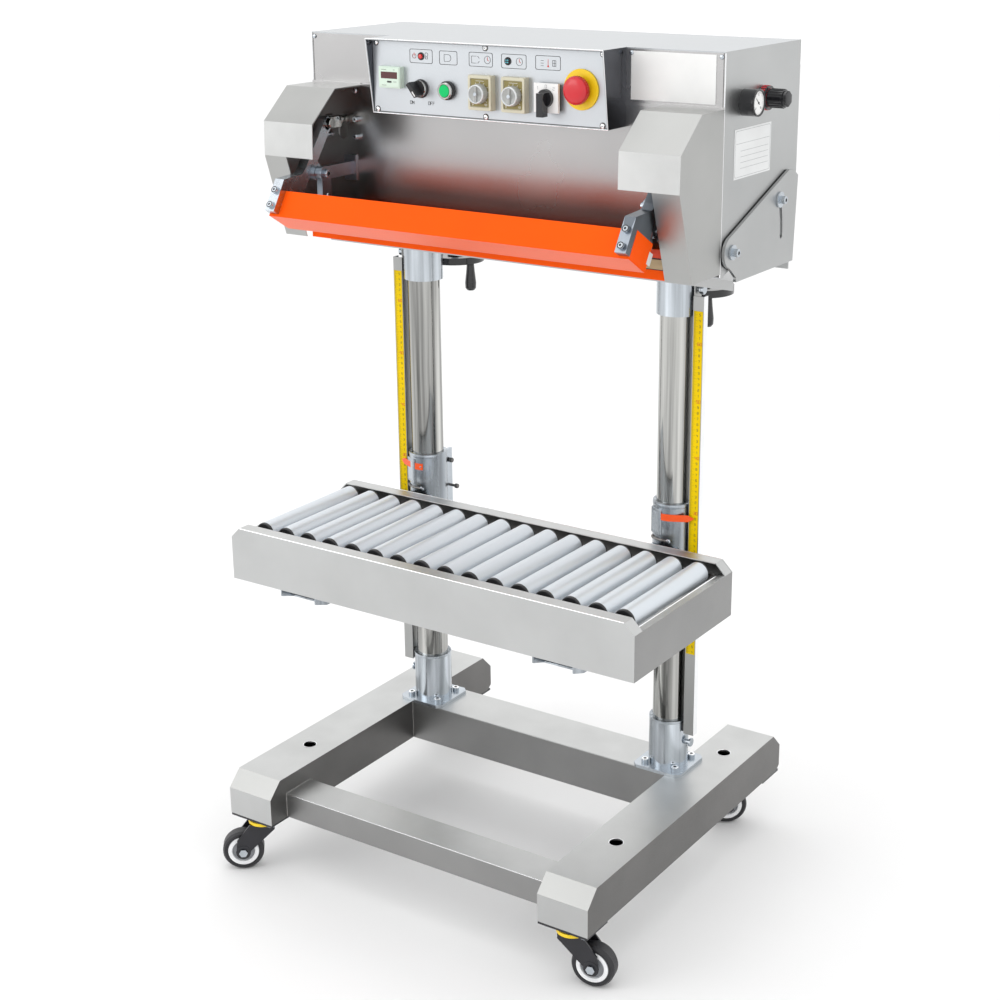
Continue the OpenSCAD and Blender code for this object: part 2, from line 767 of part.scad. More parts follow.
module roller_01() { color([0.7, 0.71, 0.71]) roller(0); }
module roller_02() { color([0.7, 0.71, 0.71]) roller(1); }
module roller_03() { color([0.7, 0.71, 0.71]) roller(2); }
module roller_04() { color([0.7, 0.71, 0.71]) roller(3); }
module roller_05() { color([0.7, 0.71, 0.71]) roller(4); }
module roller_06() { color([0.7, 0.71, 0.71]) roller(5); }
module roller_07() { color([0.7, 0.71, 0.71]) roller(6); }
module roller_08() { color([0.7, 0.71, 0.71]) roller(7); }
module roller_09() { color([0.7, 0.71, 0.71]) roller(8); }
module roller_10() { color([0.7, 0.71, 0.71]) roller(9); }
module roller_11() { color([0.7, 0.71, 0.71]) roller(10); }
module roller_12() { color([0.7, 0.71, 0.71]) roller(11); }
module roller_13() { color([0.7, 0.71, 0.71]) roller(12); }
module roller_14() { color([0.7, 0.71, 0.71]) roller(13); }
module roller_15() { color([0.7, 0.71, 0.71]) roller(14); }
module roller_16() { color([0.7, 0.71, 0.71]) roller(15); }

// Sleeve, channel arm under the tray, gussets, rear clamp plate and the lift nut
module tray_carrier() {
  x0 = col_x - arm_w / 2;
  x1 = col_x + arm_w / 2;
  side = [[tray_y1 + 3, arm_z], [tray_y1 + 3, tray_z0], [tray_y0, tray_z0],
    [tray_y0, tray_z0 - 11], [tray_y0 + 30, arm_z]];
  gusset = [[tray_y1 + 3, arm_z], [col_y - 20, tray_z0], [col_y - 20, tray_z1 - 13],
    [tray_y1 + 3, tray_z1 - 13]];
  difference() {
    union() {
      rod_z(sleeve_z0, sleeve_z1, col_x, col_y, collar_r);
      slab([x0, tray_y1, arm_z], [x1, tray_y1 + 3, tray_z1 - 13]);
      side_plate(side, x0, x0 + 3);
      side_plate(side, x1 - 3, x1);
      slab([x0, tray_y0 + 30, arm_z], [x1, tray_y1 + 3, arm_z + 3]);
      side_plate(gusset, col_x - 26, col_x - 20);
      side_plate(gusset, col_x + 20, col_x + 26);
      slab([col_x + 20, col_y + 20, sleeve_z1 - 126], [col_x + 26, col_y + 42, sleeve_z1 - 14]);
    }
    rod_z(arm_z - 1, sleeve_z1 + 1, col_x, col_y, sleeve_ri);
    slab([col_x - 5, col_y + 20, nut_z], [col_x + 5, col_y + collar_r + 1, nut_z + nut_h]);
  }
  difference() {
    union() {
      rod_z(nut_z, nut_z + nut_h, col_x, col_y, col_ri - 2);
      slab([col_x - 5, col_y, nut_z], [col_x + 5, col_y + collar_r - 1, nut_z + nut_h]);
    }
    rod_z(nut_z - 1, nut_z + nut_h + 1, col_x, col_y, screw_r + fit);
  }
}

module tray_carriers() {
  color([0.74, 0.74, 0.73]) both() tray_carrier();
}

// Outline of a strap round the sleeve that runs out into a straight tongue
function pointer_outline(r, t, a0, a1, reach) = concat(
  [for (i = [0:12]) let (a = a0 + (a1 - a0) * i / 12) [(r + t) * cos(a), (r + t) * sin(a)]],
  [[(r + t) * cos(a1) - reach * sin(a1), (r + t) * sin(a1) + reach * cos(a1)],
    [r * cos(a1) - reach * sin(a1), r * sin(a1) + reach * cos(a1)]],
  [for (i = [12:-1:0]) let (a = a0 + (a1 - a0) * i / 12) [r * cos(a), r * sin(a)]]);

// Pointer with its tip cut to a point at the tape
module height_pointer() {
  h = 12;
  reach = 37;
  leave = -64;
  translate([col_x, col_y, sleeve_z1 - 29]) difference() {
    linear_extrude(h) polygon(pointer_outline(collar_r, 1.5, leave - 46, leave, reach));
    rotate([0, 0, leave]) translate([collar_r - 2, 0, 0]) rotate([90, 0, 90])
      linear_extrude(6) polygon([[reach - 12, -1], [reach + 1, -1], [reach + 1, h / 2]]);
    rotate([0, 0, leave]) translate([collar_r - 2, 0, 0]) rotate([90, 0, 90])
      linear_extrude(6) polygon([[reach - 12, h + 1], [reach + 1, h / 2], [reach + 1, h + 1]]);
  }
}

module height_pointers() {
  color([0.95, 0.45, 0.1]) both() height_pointer();
}

// Side profile of the head, open at the front when d is above zero
function head_profile(d) = [
  [head_y0 - d / 2, head_z0 + d * 1.1], [head_y0 + 8 - d / 4, head_z0 + d * 1.1],
  [head_y1 - d, head_zr + d * 0.65], [head_y1 - d, head_z1 - d],
  [head_y0 - d / 2, head_z1 - d]];

module head_case() {
  color([0.67, 0.66, 0.62]) difference() {
    side_plate(head_profile(0), -head_x, head_x);
    side_plate(head_profile(head_t), -head_in, head_in);
    rod_x(-head_x - 1, head_x + 1, pivot_y, pivot_z, pivot_bolt_r);
    rod_x(-head_x - 1, head_x + 1, pivot_y + tilt_r * cos(tilt_rest),
      pivot_z + tilt_r * sin(tilt_rest), slot_bolt_r);
    rod_y(head_y1 - 5, head_y1 + 5, -inlet_x, inlet_z, 9);
    rod_y(head_y1 - 5, head_y1 + 5, inlet_x, inlet_z, 10);
    rod_x(head_in - 1, head_x + 1, reg_y, reg_z, 14);
    rod_x(head_in - 1, head_x + 1, gauge_y, gauge_z, 7);
  }
}

// Front plate with the rod slots, and the cover above it with a rolled lower hem
module head_front() {
  y1 = head_y0 + head_t;
  color([0.7, 0.69, 0.66]) {
    difference() {
      slab([-head_in, head_y0, head_z0 + 2.2], [head_in, y1, cover_z]);
      both() slab([arm_xc - 10, head_y0 - 1, rod_z - 23], [arm_xc + 10, y1 + 1, rod_z - 2.5]);
      both() for (z = [rod_z - 23, rod_z - 2.5]) rod_y(head_y0 - 1, y1 + 1, arm_xc, z, 10);
      rod_y(head_y0 - 1, y1 + 1, -387, 1198, 4);
    }
    slab([-head_in, head_y0, cover_z], [head_in, y1, head_z1 - head_t]);
    both() slab([hood_x, head_y0 - 3, cover_z], [guard_x0, head_y0, cover_z + 5]);
    both() slab([guard_x0, head_y0 - 3, guard_z1], [head_x, head_y0, guard_z1 + 3]);
    both() rod_y(head_y0 - 1.5, head_y0, head_x - 7, head_z1 - 8, 3);
    both() rod_y(head_y0 - 1.5, head_y0, hood_x + 10, head_z1 - 8, 3);
  }
}

// Hood open at the front and back, with the panel plate set into its mouth
module control_hood() {
  outer = [[head_y0, hood_z], [hood_y0, hood_z], [hood_y1, head_z1], [head_y0, head_z1]];
  inner = [[head_y0 + 1, hood_z + 2], [hood_y0 - 2, hood_z + 2], [hood_y1 - 2, hood_z + 2],
    [hood_y1 - 2, head_z1 - 2], [head_y0 + 1, head_z1 - 2]];
  color([0.7, 0.69, 0.66]) {
    difference() {
      side_plate(outer, -hood_x, hood_x);
      side_plate(inner, -hood_x + 2, hood_x - 2);
    }
    difference() {
      slab([-hood_x + 2, panel_y, hood_z + 2], [hood_x - 2, panel_y + 2, head_z1 - 2]);
      rod_y(panel_y - 1, panel_y + 3, start_x, row_z, 11);
      rod_y(panel_y - 1, panel_y + 3, selector_x, row_z, 11);
      rod_y(panel_y - 1, panel_y + 3, stop_x, stop_z, 14);
    }
    for (x = [-222, 0, 222]) for (z = [hood_z + 6, head_z1 - 7])
      rod_y(panel_y - 2, panel_y, x, z, 3.2);
  }
}

// Meter, timers, cam switch body, pilot lamps, and the fixed rings of the knobs and buttons
module panel_instruments() {
  color([0.85, 0.83, 0.76]) {
    slab([meter_x - 22, panel_y - 12, row_z - 1], [meter_x + 22, panel_y, row_z + 34]);
    for (x = timer_x) timer_body(x);
    difference() {
      union() {
        slab([cam_x - 20, panel_y - 8, row_z - 20], [cam_x + 20, panel_y, row_z + 20]);
        slab([cam_x - 23, panel_y - 12, row_z - 23], [cam_x + 23, panel_y - 8, row_z + 23]);
      }
      rod_y(panel_y - 13, panel_y + 1, cam_x, row_z, 4 + fit);
    }
    ring_seat(selector_x, row_z, 14.5, 5, 8);
    ring_seat(start_x, row_z, 14.5, 8, 10);
    ring_seat(stop_x, stop_z, stop_r, 3, 10);
    for (x = lamp_x) rod_y(panel_y - 3, panel_y, x, row_z + lamp_rise, 3.5);
  }
}

// Timer case with a bore for its knob's spindle
module timer_body(x) {
  difference() {
    slab([x - 22.5, panel_y - 12, row_z - 27], [x + 22.5, panel_y, row_z + 29]);
    rod_y(panel_y - 13, panel_y + 1, x, row_z, 3 + fit);
  }
}

// Front ring of radius r and length l, and the tube behind it through the panel
module ring_seat(x, z, r, l, stem) {
  difference() {
    union() {
      rod_y(panel_y - l, panel_y, x, z, r);
      rod_y(panel_y, panel_y + 25, x, z, stem + 1);
    }
    rod_y(panel_y - l - 1, panel_y + 26, x, z, stem - 1 + fit);
  }
}

// Turning grip on a round stem
module selector_knob() {
  color([0.06, 0.06, 0.06]) {
    rod_y(panel_y - 5 - gap - 4, panel_y - 5 - gap, selector_x, row_z, 12);
    translate([selector_x, panel_y - 5 - gap, row_z]) rotate([0, -selector_lean, 0])
      slab([-3.5, -23, -13], [3.5, -1, 13]);
    rod_y(panel_y - 6 - gap, panel_y + 24, selector_x, row_z, 7);
  }
}

module start_button() {
  color([0.1, 0.6, 0.3]) rod_y(panel_y - 8 - button_gap, panel_y + 18, start_x, row_z, 9);
}

// Dial knob in front of a timer
module timer_knob(x) {
  rod_y(panel_y - 12 - gap - 12, panel_y - 12 - gap, x, row_z, 15);
  rod_y(panel_y - 13 - gap, panel_y - 4, x, row_z, 3);
  slab([x - 2, panel_y - 12 - gap - 14, row_z - 14], [x + 2, panel_y - 24 - gap, row_z + 14]);
}

module timer_knob_left() { color([0.75, 0.75, 0.74]) timer_knob(timer_x[0]); }
module timer_knob_right() { color([0.75, 0.75, 0.74]) timer_knob(timer_x[1]); }

// Round dial with a lever block that points down
module cam_lever() {
  y1 = panel_y - 12 - gap;
  color([0.07, 0.07, 0.07]) {
    rod_y(y1 - 6, y1, cam_x, row_z, 14);
    rod_y(y1 - 1, panel_y - 2, cam_x, row_z, 4);
    slab([cam_x - 6, y1 - 20, row_z - 28], [cam_x + 6, y1 - 5, row_z + 9]);
  }
}

// Mushroom head on a stem
module stop_button() {
  color([0.8, 0.08, 0.1]) {
    translate([stop_x, panel_y - 8, stop_z]) rotate([90, 0, 0]) rotate_extrude()
      polygon([[0, 0], [17, 0], [22, 4], [22, 8], [18, 13], [10, 16], [0, 17]]);
    rod_y(panel_y - 9, panel_y + 18, stop_x, stop_z, 9);
  }
}

// Transformer and switch gear on the head floor, and the cable gland at the rear
module power_unit() {
  color([0.3, 0.3, 0.32]) {
    difference() {
      union() {
        slab([-coil_x - 50, coil_y, coil_z - 40], [-coil_x + 50, coil_y + 90, coil_z + 40]);
        slab([-coil_x - 60, coil_y + 10, coil_z - 25], [-coil_x + 60, coil_y + 80, coil_z + 25]);
      }
      slab([-coil_x - 20, coil_y - 1, coil_z - 15], [-coil_x + 20, coil_y + 91, coil_z + 15]);
    }
    slab([-coil_x - 82, head_y1 - 6, coil_z - 50], [-coil_x + 82, head_y1 - head_t, coil_z + 60]);
    for (x = [-coil_x - 48, -coil_x + 28])
      slab([x, coil_y + 90, coil_z - 30], [x + 20, head_y1 - 6, coil_z - 10]);
    difference() {
      union() {
        rod_y(head_y1 - 12, head_y1 + 20, -inlet_x, inlet_z, 9);
        rod_y(head_y1, head_y1 + 8, -inlet_x, inlet_z, 14);
        rod_y(head_y1 - 8, head_y1 - 2, -inlet_x, inlet_z, 14);
      }
      rod_y(head_y1 - 13, head_y1 + 21, -inlet_x, inlet_z, 5);
    }
  }
}

// Folded cover over one jaw arm, closed on the outer side
function guard_profile(d) = [
  [head_y0 + d, guard_z1 - d], [guard_top_y + d * 0.4, guard_z1 - d],
  [guard_y0 + 2 + d, guard_knee_z - d * 0.6], [guard_y0 + d, guard_z],
  [guard_foot_y + d, guard_z0 - d], [head_y0 + d, guard_z0 - d]];

module arm_guard() {
  difference() {
    side_plate(guard_profile(0), guard_x0, head_x);
    side_plate(guard_profile(guard_t), guard_x0 - 1, head_x - guard_t);
    slab([guard_x0 - 1, guard_y0 - 7, guard_z0 - 3], [guard_x1, head_y0 + 1, guard_z]);
  }
}

module arm_guards() {
  color([0.7, 0.69, 0.66]) both() arm_guard();
}

// Heated jaw with its sealing band, standing on blocks in front of the head
module fixed_jaw() {
  color([0.92, 0.36, 0.12]) {
    slab([-jaw_x, fixed_y, fixed_z0], [jaw_x, fixed_y + fixed_d, fixed_z1]);
    slab([-jaw_x + 4, fixed_y - band_t, fixed_z1 - 31],
      [jaw_x - 4, fixed_y, fixed_z1 - 31 + band_h]);
    for (x = [-310, -15, 280])
      slab([x, fixed_y + fixed_d, fixed_z0 + 8], [x + 30, head_y0, fixed_z1 - 8]);
  }
}

// Bars that hold the fulcrum bolts, with big washers outside the arms
module fulcrum_bracket() {
  difference() {
    union() {
      slab([bar_x0, fixed_y, fulcrum_z - 11], [bar_x1, head_y0, fulcrum_z + 11]);
      rod_x(bar_x0, bar_x1, fixed_y, fulcrum_z, 11);
      slab([bar_x0, fixed_y - 6, fixed_z1], [bar_x1, fixed_y + 18, fulcrum_z - 8]);
      slab([bar_x0 - 7, head_y0 - 4, fulcrum_z - 22], [bar_x1 + 7, head_y0, fulcrum_z + 22]);
    }
    rod_x(bar_x0 - 1, bar_x1 + 1, fixed_y, fulcrum_z, 6);
  }
  rod_x(bar_x0, arm_x1 + 3, fixed_y, fulcrum_z, 6);
  rod_x(bar_x0 - 3, bar_x0, fixed_y, fulcrum_z, 13);
  rod_x(bar_x0 - 8, bar_x0 - 3, fixed_y, fulcrum_z, 7);
  difference() {
    rod_x(arm_x1 + gap, arm_x1 + 3, fixed_y, fulcrum_z, 13);
    rod_x(arm_x1, arm_x1 + 4, fixed_y, fulcrum_z, 6);
  }
  rod_x(arm_x1 + 3, arm_x1 + 8, fixed_y, fulcrum_z, 7);
}

module fulcrum_brackets() {
  color([0.72, 0.72, 0.72]) both() fulcrum_bracket();
}

// Barrel with a mounting block on the back of the front plate
module air_cylinder() {
  y0 = head_y0 + head_t;
  difference() {
    union() {
      slab([arm_xc - 42, y0, rod_z - 37], [arm_xc + 42, y0 + 16, rod_z + 20]);
      rod_y(y0 + 16, 110, arm_xc, rod_z, barrel_r);
    }
    rod_y(y0 - 1, y0 + 20, arm_xc, rod_z, rod_r + fit);
    rod_y(y0 + 20, 104, arm_xc, rod_z, barrel_ri);
  }
  for (dx = [-33, 33]) for (z = [rod_z - 28, rod_z + 2.5])
    rod_y(head_y0 - 6, head_y0, arm_xc + dx, z, 5);
}

module air_cylinders() {
  color([0.75, 0.75, 0.76]) both() air_cylinder();
}

// Rod with piston, clevis and the cross pin that drives the arm
module cylinder_rod() {
  rod_y(clevis_y1, clevis_y1 + 135, arm_xc, rod_z, rod_r);
  rod_y(clevis_y1 + 120, clevis_y1 + 135, arm_xc, rod_z, barrel_ri - fit);
  difference() {
    union() {
      slab([arm_x0 - 5, clevis_y1 - 12, rod_z - 9], [arm_x1 + 5, clevis_y1, rod_z + 9]);
      for (x = [arm_x0 - 5, arm_x1 + 0.5]) {
        slab([x, pin_open_y, rod_z - 9], [x + 4.5, clevis_y1 - 11, rod_z + 9]);
        rod_x(x, x + 4.5, pin_open_y, rod_z, 9);
      }
    }
    rod_x(arm_x0 - 6, arm_x1 + 6, pin_open_y, rod_z, drive_pin_r);
  }
  rod_x(arm_x0 - 7, arm_x1 + 7, pin_open_y, rod_z, drive_pin_r);
}

module cylinder_rods() {
  color([0.8, 0.8, 0.82]) both() cylinder_rod();
}

// Turns a jaw part from its closed place to the open rest place
module opened() {
  translate([0, fixed_y, fulcrum_z]) rotate([-jaw_open, 0, 0])
    translate([0, -fixed_y, -fulcrum_z]) children();
}

// Box beam with a silicone strip on its back face
module moving_jaw() {
  zc = fixed_z1 - 31 + band_h / 2;
  color([0.93, 0.4, 0.12]) opened() {
    slab([-jaw_x, jaw_y0, jaw_z0], [jaw_x, jaw_y1, jaw_z1]);
    slab([-jaw_x + 4, jaw_y1, zc - strip_h / 2],
      [jaw_x - 4, jaw_y1 + strip_t, zc + strip_h / 2]);
  }
}

// Bent arm over the jaw, with the fulcrum bore and the slot for the rod's pin
module jaw_arm() {
  plate = [[fixed_y - 34.8, fulcrum_z - 7], [fixed_y - 38.4, fulcrum_z - 19.6],
    [jaw_y0 - 14, jaw_z1 + 15], [jaw_y0 - 14, jaw_z0 + 4], [jaw_y0, jaw_z0 + 4],
    [jaw_y0, jaw_z1], [jaw_y1 - 13, jaw_z1], [fixed_y - 18, fulcrum_z - 17],
    [fixed_y, fulcrum_z - arm_hub_r], [fixed_y, fulcrum_z + arm_hub_r],
    [fixed_y - 14.5, fulcrum_z + 17]];
  opened() {
    difference() {
      union() {
        side_plate(plate, arm_x0, arm_x1);
        rod_x(arm_x0, arm_x1, fixed_y, fulcrum_z, arm_hub_r);
        translate([0, fixed_y, fulcrum_z]) rotate([arm_tilt, 0, 0]) translate([0, 0, arm_len])
          rotate([-arm_tilt - arm_lean, 0, 0]) {
            slab([arm_x0, -jaw_arm_w / 2, -arm_len - 7], [arm_x1, jaw_arm_w / 2, 0]);
            rod_x(arm_x0, arm_x1, 0, 0, jaw_arm_w / 2);
          }
      }
      rod_x(arm_x0 - 1, arm_x1 + 1, fixed_y, fulcrum_z, 6 + fit);
      translate([0, fixed_y, fulcrum_z]) rotate([arm_tilt, 0, 0]) {
        rod_x(arm_x0 - 1, arm_x1 + 1, 0, arm_len, arm_slot_w / 2);
        rod_x(arm_x0 - 1, arm_x1 + 1, 0, arm_len - 7, arm_slot_w / 2);
        slab([arm_x0 - 1, -arm_slot_w / 2, arm_len - 7],
          [arm_x1 + 1, arm_slot_w / 2, arm_len]);
      }
    }
    for (z = [jaw_z0 + 14, jaw_z1 - 6])
      rod_y(jaw_y0 - 19, jaw_y0 - 14, arm_xc, z, 6.5);
  }
}

module jaw_arms() {
  color([0.72, 0.72, 0.7]) both() jaw_arm();
}

// Gauge, regulator with its ring on the head side, air valve inside, and the rear inlet
module air_unit() {
  color([0.12, 0.12, 0.12]) {
    rod_x(head_x, head_x + gauge_d, gauge_y, gauge_z, gauge_r);
    rod_x(head_in - 12, head_x, gauge_y, gauge_z, 7);
    difference() {
      union() {
        rod_x(head_x, head_x + 13, reg_y, reg_z, 19);
        rod_x(head_in - 40, head_x, reg_y, reg_z, 14);
        slab([valve_x, reg_y - 22, reg_z - 25], [head_in - 30, reg_y + 22, reg_z + 25]);
      }
      rod_x(head_in - 20, head_x + 14, reg_y, reg_z, 8 + fit);
    }
    slab([valve_x - 90, reg_y - 16, reg_z - 16], [valve_x, reg_y + 16, reg_z + 16]);
    slab([valve_x, gauge_y - 10, reg_z - 10], [head_in - 12, reg_y - 22, reg_z + 10]);
    difference() {
      union() {
        rod_y(head_y1 - 14, head_y1 + 20, inlet_x, inlet_z, 10);
        rod_y(head_y1, head_y1 + 9, inlet_x, inlet_z, 13);
        rod_y(head_y1 - 8, head_y1 - 2, inlet_x, inlet_z, 14);
      }
      rod_y(head_y1 + 5, head_y1 + 21, inlet_x, inlet_z, 5.8);
    }
    slab([inlet_x - 8, reg_y + 32, inlet_z - 8], [inlet_x + 8, head_y1 - 14, inlet_z + 8]);
    slab([inlet_x - 8, reg_y + 16, inlet_z - 20], [inlet_x + 8, reg_y + 32, inlet_z + 8]);
  }
}

module regulator_knob() {
  x0 = head_x + 13 + gap;
  color([0.08, 0.08, 0.08]) {
    rod_x(x0, x0 + 26, reg_y, reg_z, 14.5);
    rod_x(x0 + 26, x0 + 31, reg_y, reg_z, 12.5);
    rod_x(head_in - 18, x0, reg_y, reg_z, 8);
  }
}

// Pivot and slot bolts with their spacers and washers
module tilt_bolt(y, z, r, washer) {
  rod_x(head_in - 6, cradle_x + 3, y, z, r);
  hex_x(head_in - 6, head_in, y, z, r * 1.8);
  difference() {
    rod_x(head_x, ear_in - gap, y, z, washer);
    rod_x(head_x - 1, ear_in, y, z, r);
  }
  difference() {
    rod_x(cradle_x + gap, cradle_x + 3, y, z, washer);
    rod_x(cradle_x, cradle_x + 4, y, z, r);
  }
  rod_x(cradle_x + 3, cradle_x + 11, y, z, 6.5);
}

module tilt_bolts() {
  color([0.78, 0.78, 0.8]) both() {
    tilt_bolt(pivot_y, pivot_z, pivot_bolt_r, 12);
    tilt_bolt(pivot_y + tilt_r * cos(tilt_rest), pivot_z + tilt_r * sin(tilt_rest),
      slot_bolt_r, 13);
  }
}

base_frame();
caster_plates();
fork_fr();
fork_fl();
fork_rr();
fork_rl();
wheel_fr();
wheel_fl();
wheel_rr();
wheel_rl();
columns();
column_collars();
scale_rails();
scale_tapes();
tilt_cradle();
drive_belts();
tray_frame();
tray_carriers();
height_pointers();
roller_01();
roller_02();
roller_03();
roller_04();
roller_05();
roller_06();
roller_07();
roller_08();
roller_09();
roller_10();
roller_11();
roller_12();
roller_13();
roller_14();
roller_15();
roller_16();
handwheel_right();
handwheel_left();
lift_screw_right();
lift_screw_left();
head_case();
head_front();
control_hood();
panel_instruments();
power_unit();
arm_guards();
fixed_jaw();
fulcrum_brackets();
air_cylinders();
cylinder_rods();
moving_jaw();
jaw_arms();
air_unit();
regulator_knob();
selector_knob();
start_button();
timer_knob_left();
timer_knob_right();
cam_lever();
stop_button();
tilt_bolts();
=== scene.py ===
import bpy
import bmesh
import json
import math
import random
from mathutils import Matrix, Vector

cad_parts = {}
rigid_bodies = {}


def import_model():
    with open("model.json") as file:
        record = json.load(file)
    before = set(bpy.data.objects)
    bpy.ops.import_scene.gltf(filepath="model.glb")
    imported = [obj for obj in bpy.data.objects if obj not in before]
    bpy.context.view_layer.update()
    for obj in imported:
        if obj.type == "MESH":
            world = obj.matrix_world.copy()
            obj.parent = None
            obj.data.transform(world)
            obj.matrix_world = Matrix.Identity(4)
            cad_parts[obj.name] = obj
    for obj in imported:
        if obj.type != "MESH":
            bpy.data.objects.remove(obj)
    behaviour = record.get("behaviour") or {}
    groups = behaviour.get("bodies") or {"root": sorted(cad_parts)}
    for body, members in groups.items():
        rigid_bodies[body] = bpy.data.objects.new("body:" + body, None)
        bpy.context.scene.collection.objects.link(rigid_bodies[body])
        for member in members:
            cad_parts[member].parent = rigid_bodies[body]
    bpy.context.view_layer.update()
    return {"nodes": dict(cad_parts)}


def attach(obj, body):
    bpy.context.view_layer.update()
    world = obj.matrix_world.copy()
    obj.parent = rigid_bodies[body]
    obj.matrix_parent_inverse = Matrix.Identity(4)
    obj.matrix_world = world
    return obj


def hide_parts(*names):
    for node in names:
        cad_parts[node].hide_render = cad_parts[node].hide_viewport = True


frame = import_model()
MM = 0.001
random.seed(7)
scene = bpy.context.scene

# Main places in millimetres; those of the solids are the same as in part.scad

FRONT, RIGHT, UP = (0, -1, 0), (1, 0, 0), (0, 0, 1)
SIDES = (("l", -1), ("r", 1))
CROSS_END = 286
CASTER_X, CASTER_Y = 334.2, {"f": -352, "r": 279}
CASTER_TURN = {"fr": 11.6, "fl": 219.7, "rr": 214, "rl": 200}
TRAIL, WHEEL_R, FORK_OUT = 39.0, 37.5, 19.0
COLUMN_X, COLUMN_Y = 266, 86
FOOT_TOP, COLLAR_TOPS, CLIP_Z = 198.9, (285, 1100), (273, 1050)
SLEEVE_TOP, CLAMP_X = 698, 240
TRAY_END, TRAY_Y, TRAY_TOP = 396, -140.5, 632
ROLLER_Z, PITCH, ROLLERS = 616.5, 49.73, 16
MIDDLE = (ROLLERS - 1) / 2
HEAD, HEAD_SIDE = "head", 407
FRONT_LOW, FRONT_HIGH = 1127, 1472
HOOD_X, HOOD_LOW, HOOD_HIGH = 232, 1351, 1474
PANEL = -88.0
FACE = PANEL - 0.6
ROW_Z = 1395.5
PIVOT, SLOT_BOLT = (-10, 1164), (154.45, 1223.85)
JAW_X, ARM_X = 354, 344.25
FULCRUM = Vector((0, -118, 1244))
SWING = Matrix.Rotation(math.radians(-31.5), 4, "X")
OPEN = Matrix.Translation(FULCRUM) @ SWING @ Matrix.Translation(-FULCRUM)
SHUT = OPEN.inverted()

# Angles in degrees from which an edge stays sharp or is rounded; points closer than MERGE metres are one

SHARP_FLAT, SHARP_TURNED, ROUNDED = 35, 30, 32
MERGE = 1e-7

# Materials

MATERIALS = {}


def socket(node, name, value):
    node.inputs[name].default_value = value


def make_mat(name, color, metallic=0.0, rough=0.5, grain=0.0, grain_scale=900.0, mottle_and_reflection=0.0,
             mottle_and_reflection_scale=14.0, stretch=(1, 1, 1), coat=0.0, rough_var=0.06, spec=0.5, painted_shade=None):
    """Principled material with a colour mottle, a roughness variation and a fine surface grain; stretched
    along one axis, the mottle draws streaks of painted reflection.

    The last argument is painted shade that darkens it downwards: height of full dark and of full colour in
    metres, share left when dark.
    """
    m = bpy.data.materials.new(name)
    m.use_nodes = True
    nt = m.node_tree
    bsdf = nt.nodes["Principled BSDF"]
    socket(bsdf, "Metallic", metallic)
    socket(bsdf, "Coat Weight", coat)
    socket(bsdf, "Specular IOR Level", spec)
    coords = nt.nodes.new("ShaderNodeTexCoord")
    mapping = nt.nodes.new("ShaderNodeMapping")
    socket(mapping, "Scale", stretch)
    nt.links.new(coords.outputs["Object"], mapping.inputs["Vector"])
    mottle_and_reflection_noise = nt.nodes.new("ShaderNodeTexNoise")
    socket(mottle_and_reflection_noise, "Scale", mottle_and_reflection_scale)
    socket(mottle_and_reflection_noise, "Detail", 5.0)
    nt.links.new(mapping.outputs["Vector"], mottle_and_reflection_noise.inputs["Vector"])
    ramp = nt.nodes.new("ShaderNodeValToRGB")
    # a weak mottle runs over the whole ramp, so that no flat patch with a visible rim is left
    start, gain = (0.3, 1.0) if mottle_and_reflection > 0.3 else (0.0, 2.5)
    lo = [max(0.0, c * (1 - gain * mottle_and_reflection)) for c in color] + [1.0]
    hi = [min(1.0, c * (1 + gain * mottle_and_reflection)) for c in color] + [1.0]
    ramp.color_ramp.elements[0].position = start
    ramp.color_ramp.elements[0].color = lo
    ramp.color_ramp.elements[1].position = 1 - start
    ramp.color_ramp.elements[1].color = hi
    nt.links.new(mottle_and_reflection_noise.outputs["Fac"], ramp.inputs["Fac"])
    # Painted shade: the colour is scaled down towards the bottom
    if painted_shade:
        axes = nt.nodes.new("ShaderNodeSeparateXYZ")
        nt.links.new(coords.outputs["Object"], axes.inputs["Vector"])
        rise = nt.nodes.new("ShaderNodeMapRange")
        rise.interpolation_type = "SMOOTHSTEP"
        for key, value in zip(("From Min", "From Max", "To Min"), painted_shade):
            socket(rise, key, value)
        socket(rise, "To Max", 1.0)
        nt.links.new(axes.outputs["Z"], rise.inputs["Value"])
        shade_scale = nt.nodes.new("ShaderNodeVectorMath")
        shade_scale.operation = "SCALE"
        nt.links.new(ramp.outputs["Color"], shade_scale.inputs[0])
        nt.links.new(rise.outputs["Result"], shade_scale.inputs["Scale"])
        nt.links.new(shade_scale.outputs["Vector"], bsdf.inputs["Base Color"])
    else:
        nt.links.new(ramp.outputs["Color"], bsdf.inputs["Base Color"])
    spread = nt.nodes.new("ShaderNodeMapRange")
    socket(spread, "To Min", max(0.03, rough - rough_var))
    socket(spread, "To Max", min(1.0, rough + rough_var))
    fine = nt.nodes.new("ShaderNodeTexNoise")
    socket(fine, "Scale", grain_scale)
    socket(fine, "Detail", 3.0)
    nt.links.new(mapping.outputs["Vector"], fine.inputs["Vector"])
    nt.links.new(mottle_and_reflection_noise.outputs["Fac"], spread.inputs["Value"])
    nt.links.new(spread.outputs["Result"], bsdf.inputs["Roughness"])
    if grain > 0:
        bump = nt.nodes.new("ShaderNodeBump")
        socket(bump, "Strength", grain)
        socket(bump, "Distance", 0.0004)
        nt.links.new(fine.outputs["Fac"], bump.inputs["Height"])
        nt.links.new(bump.outputs["Normal"], bsdf.inputs["Normal"])
    MATERIALS[name] = m
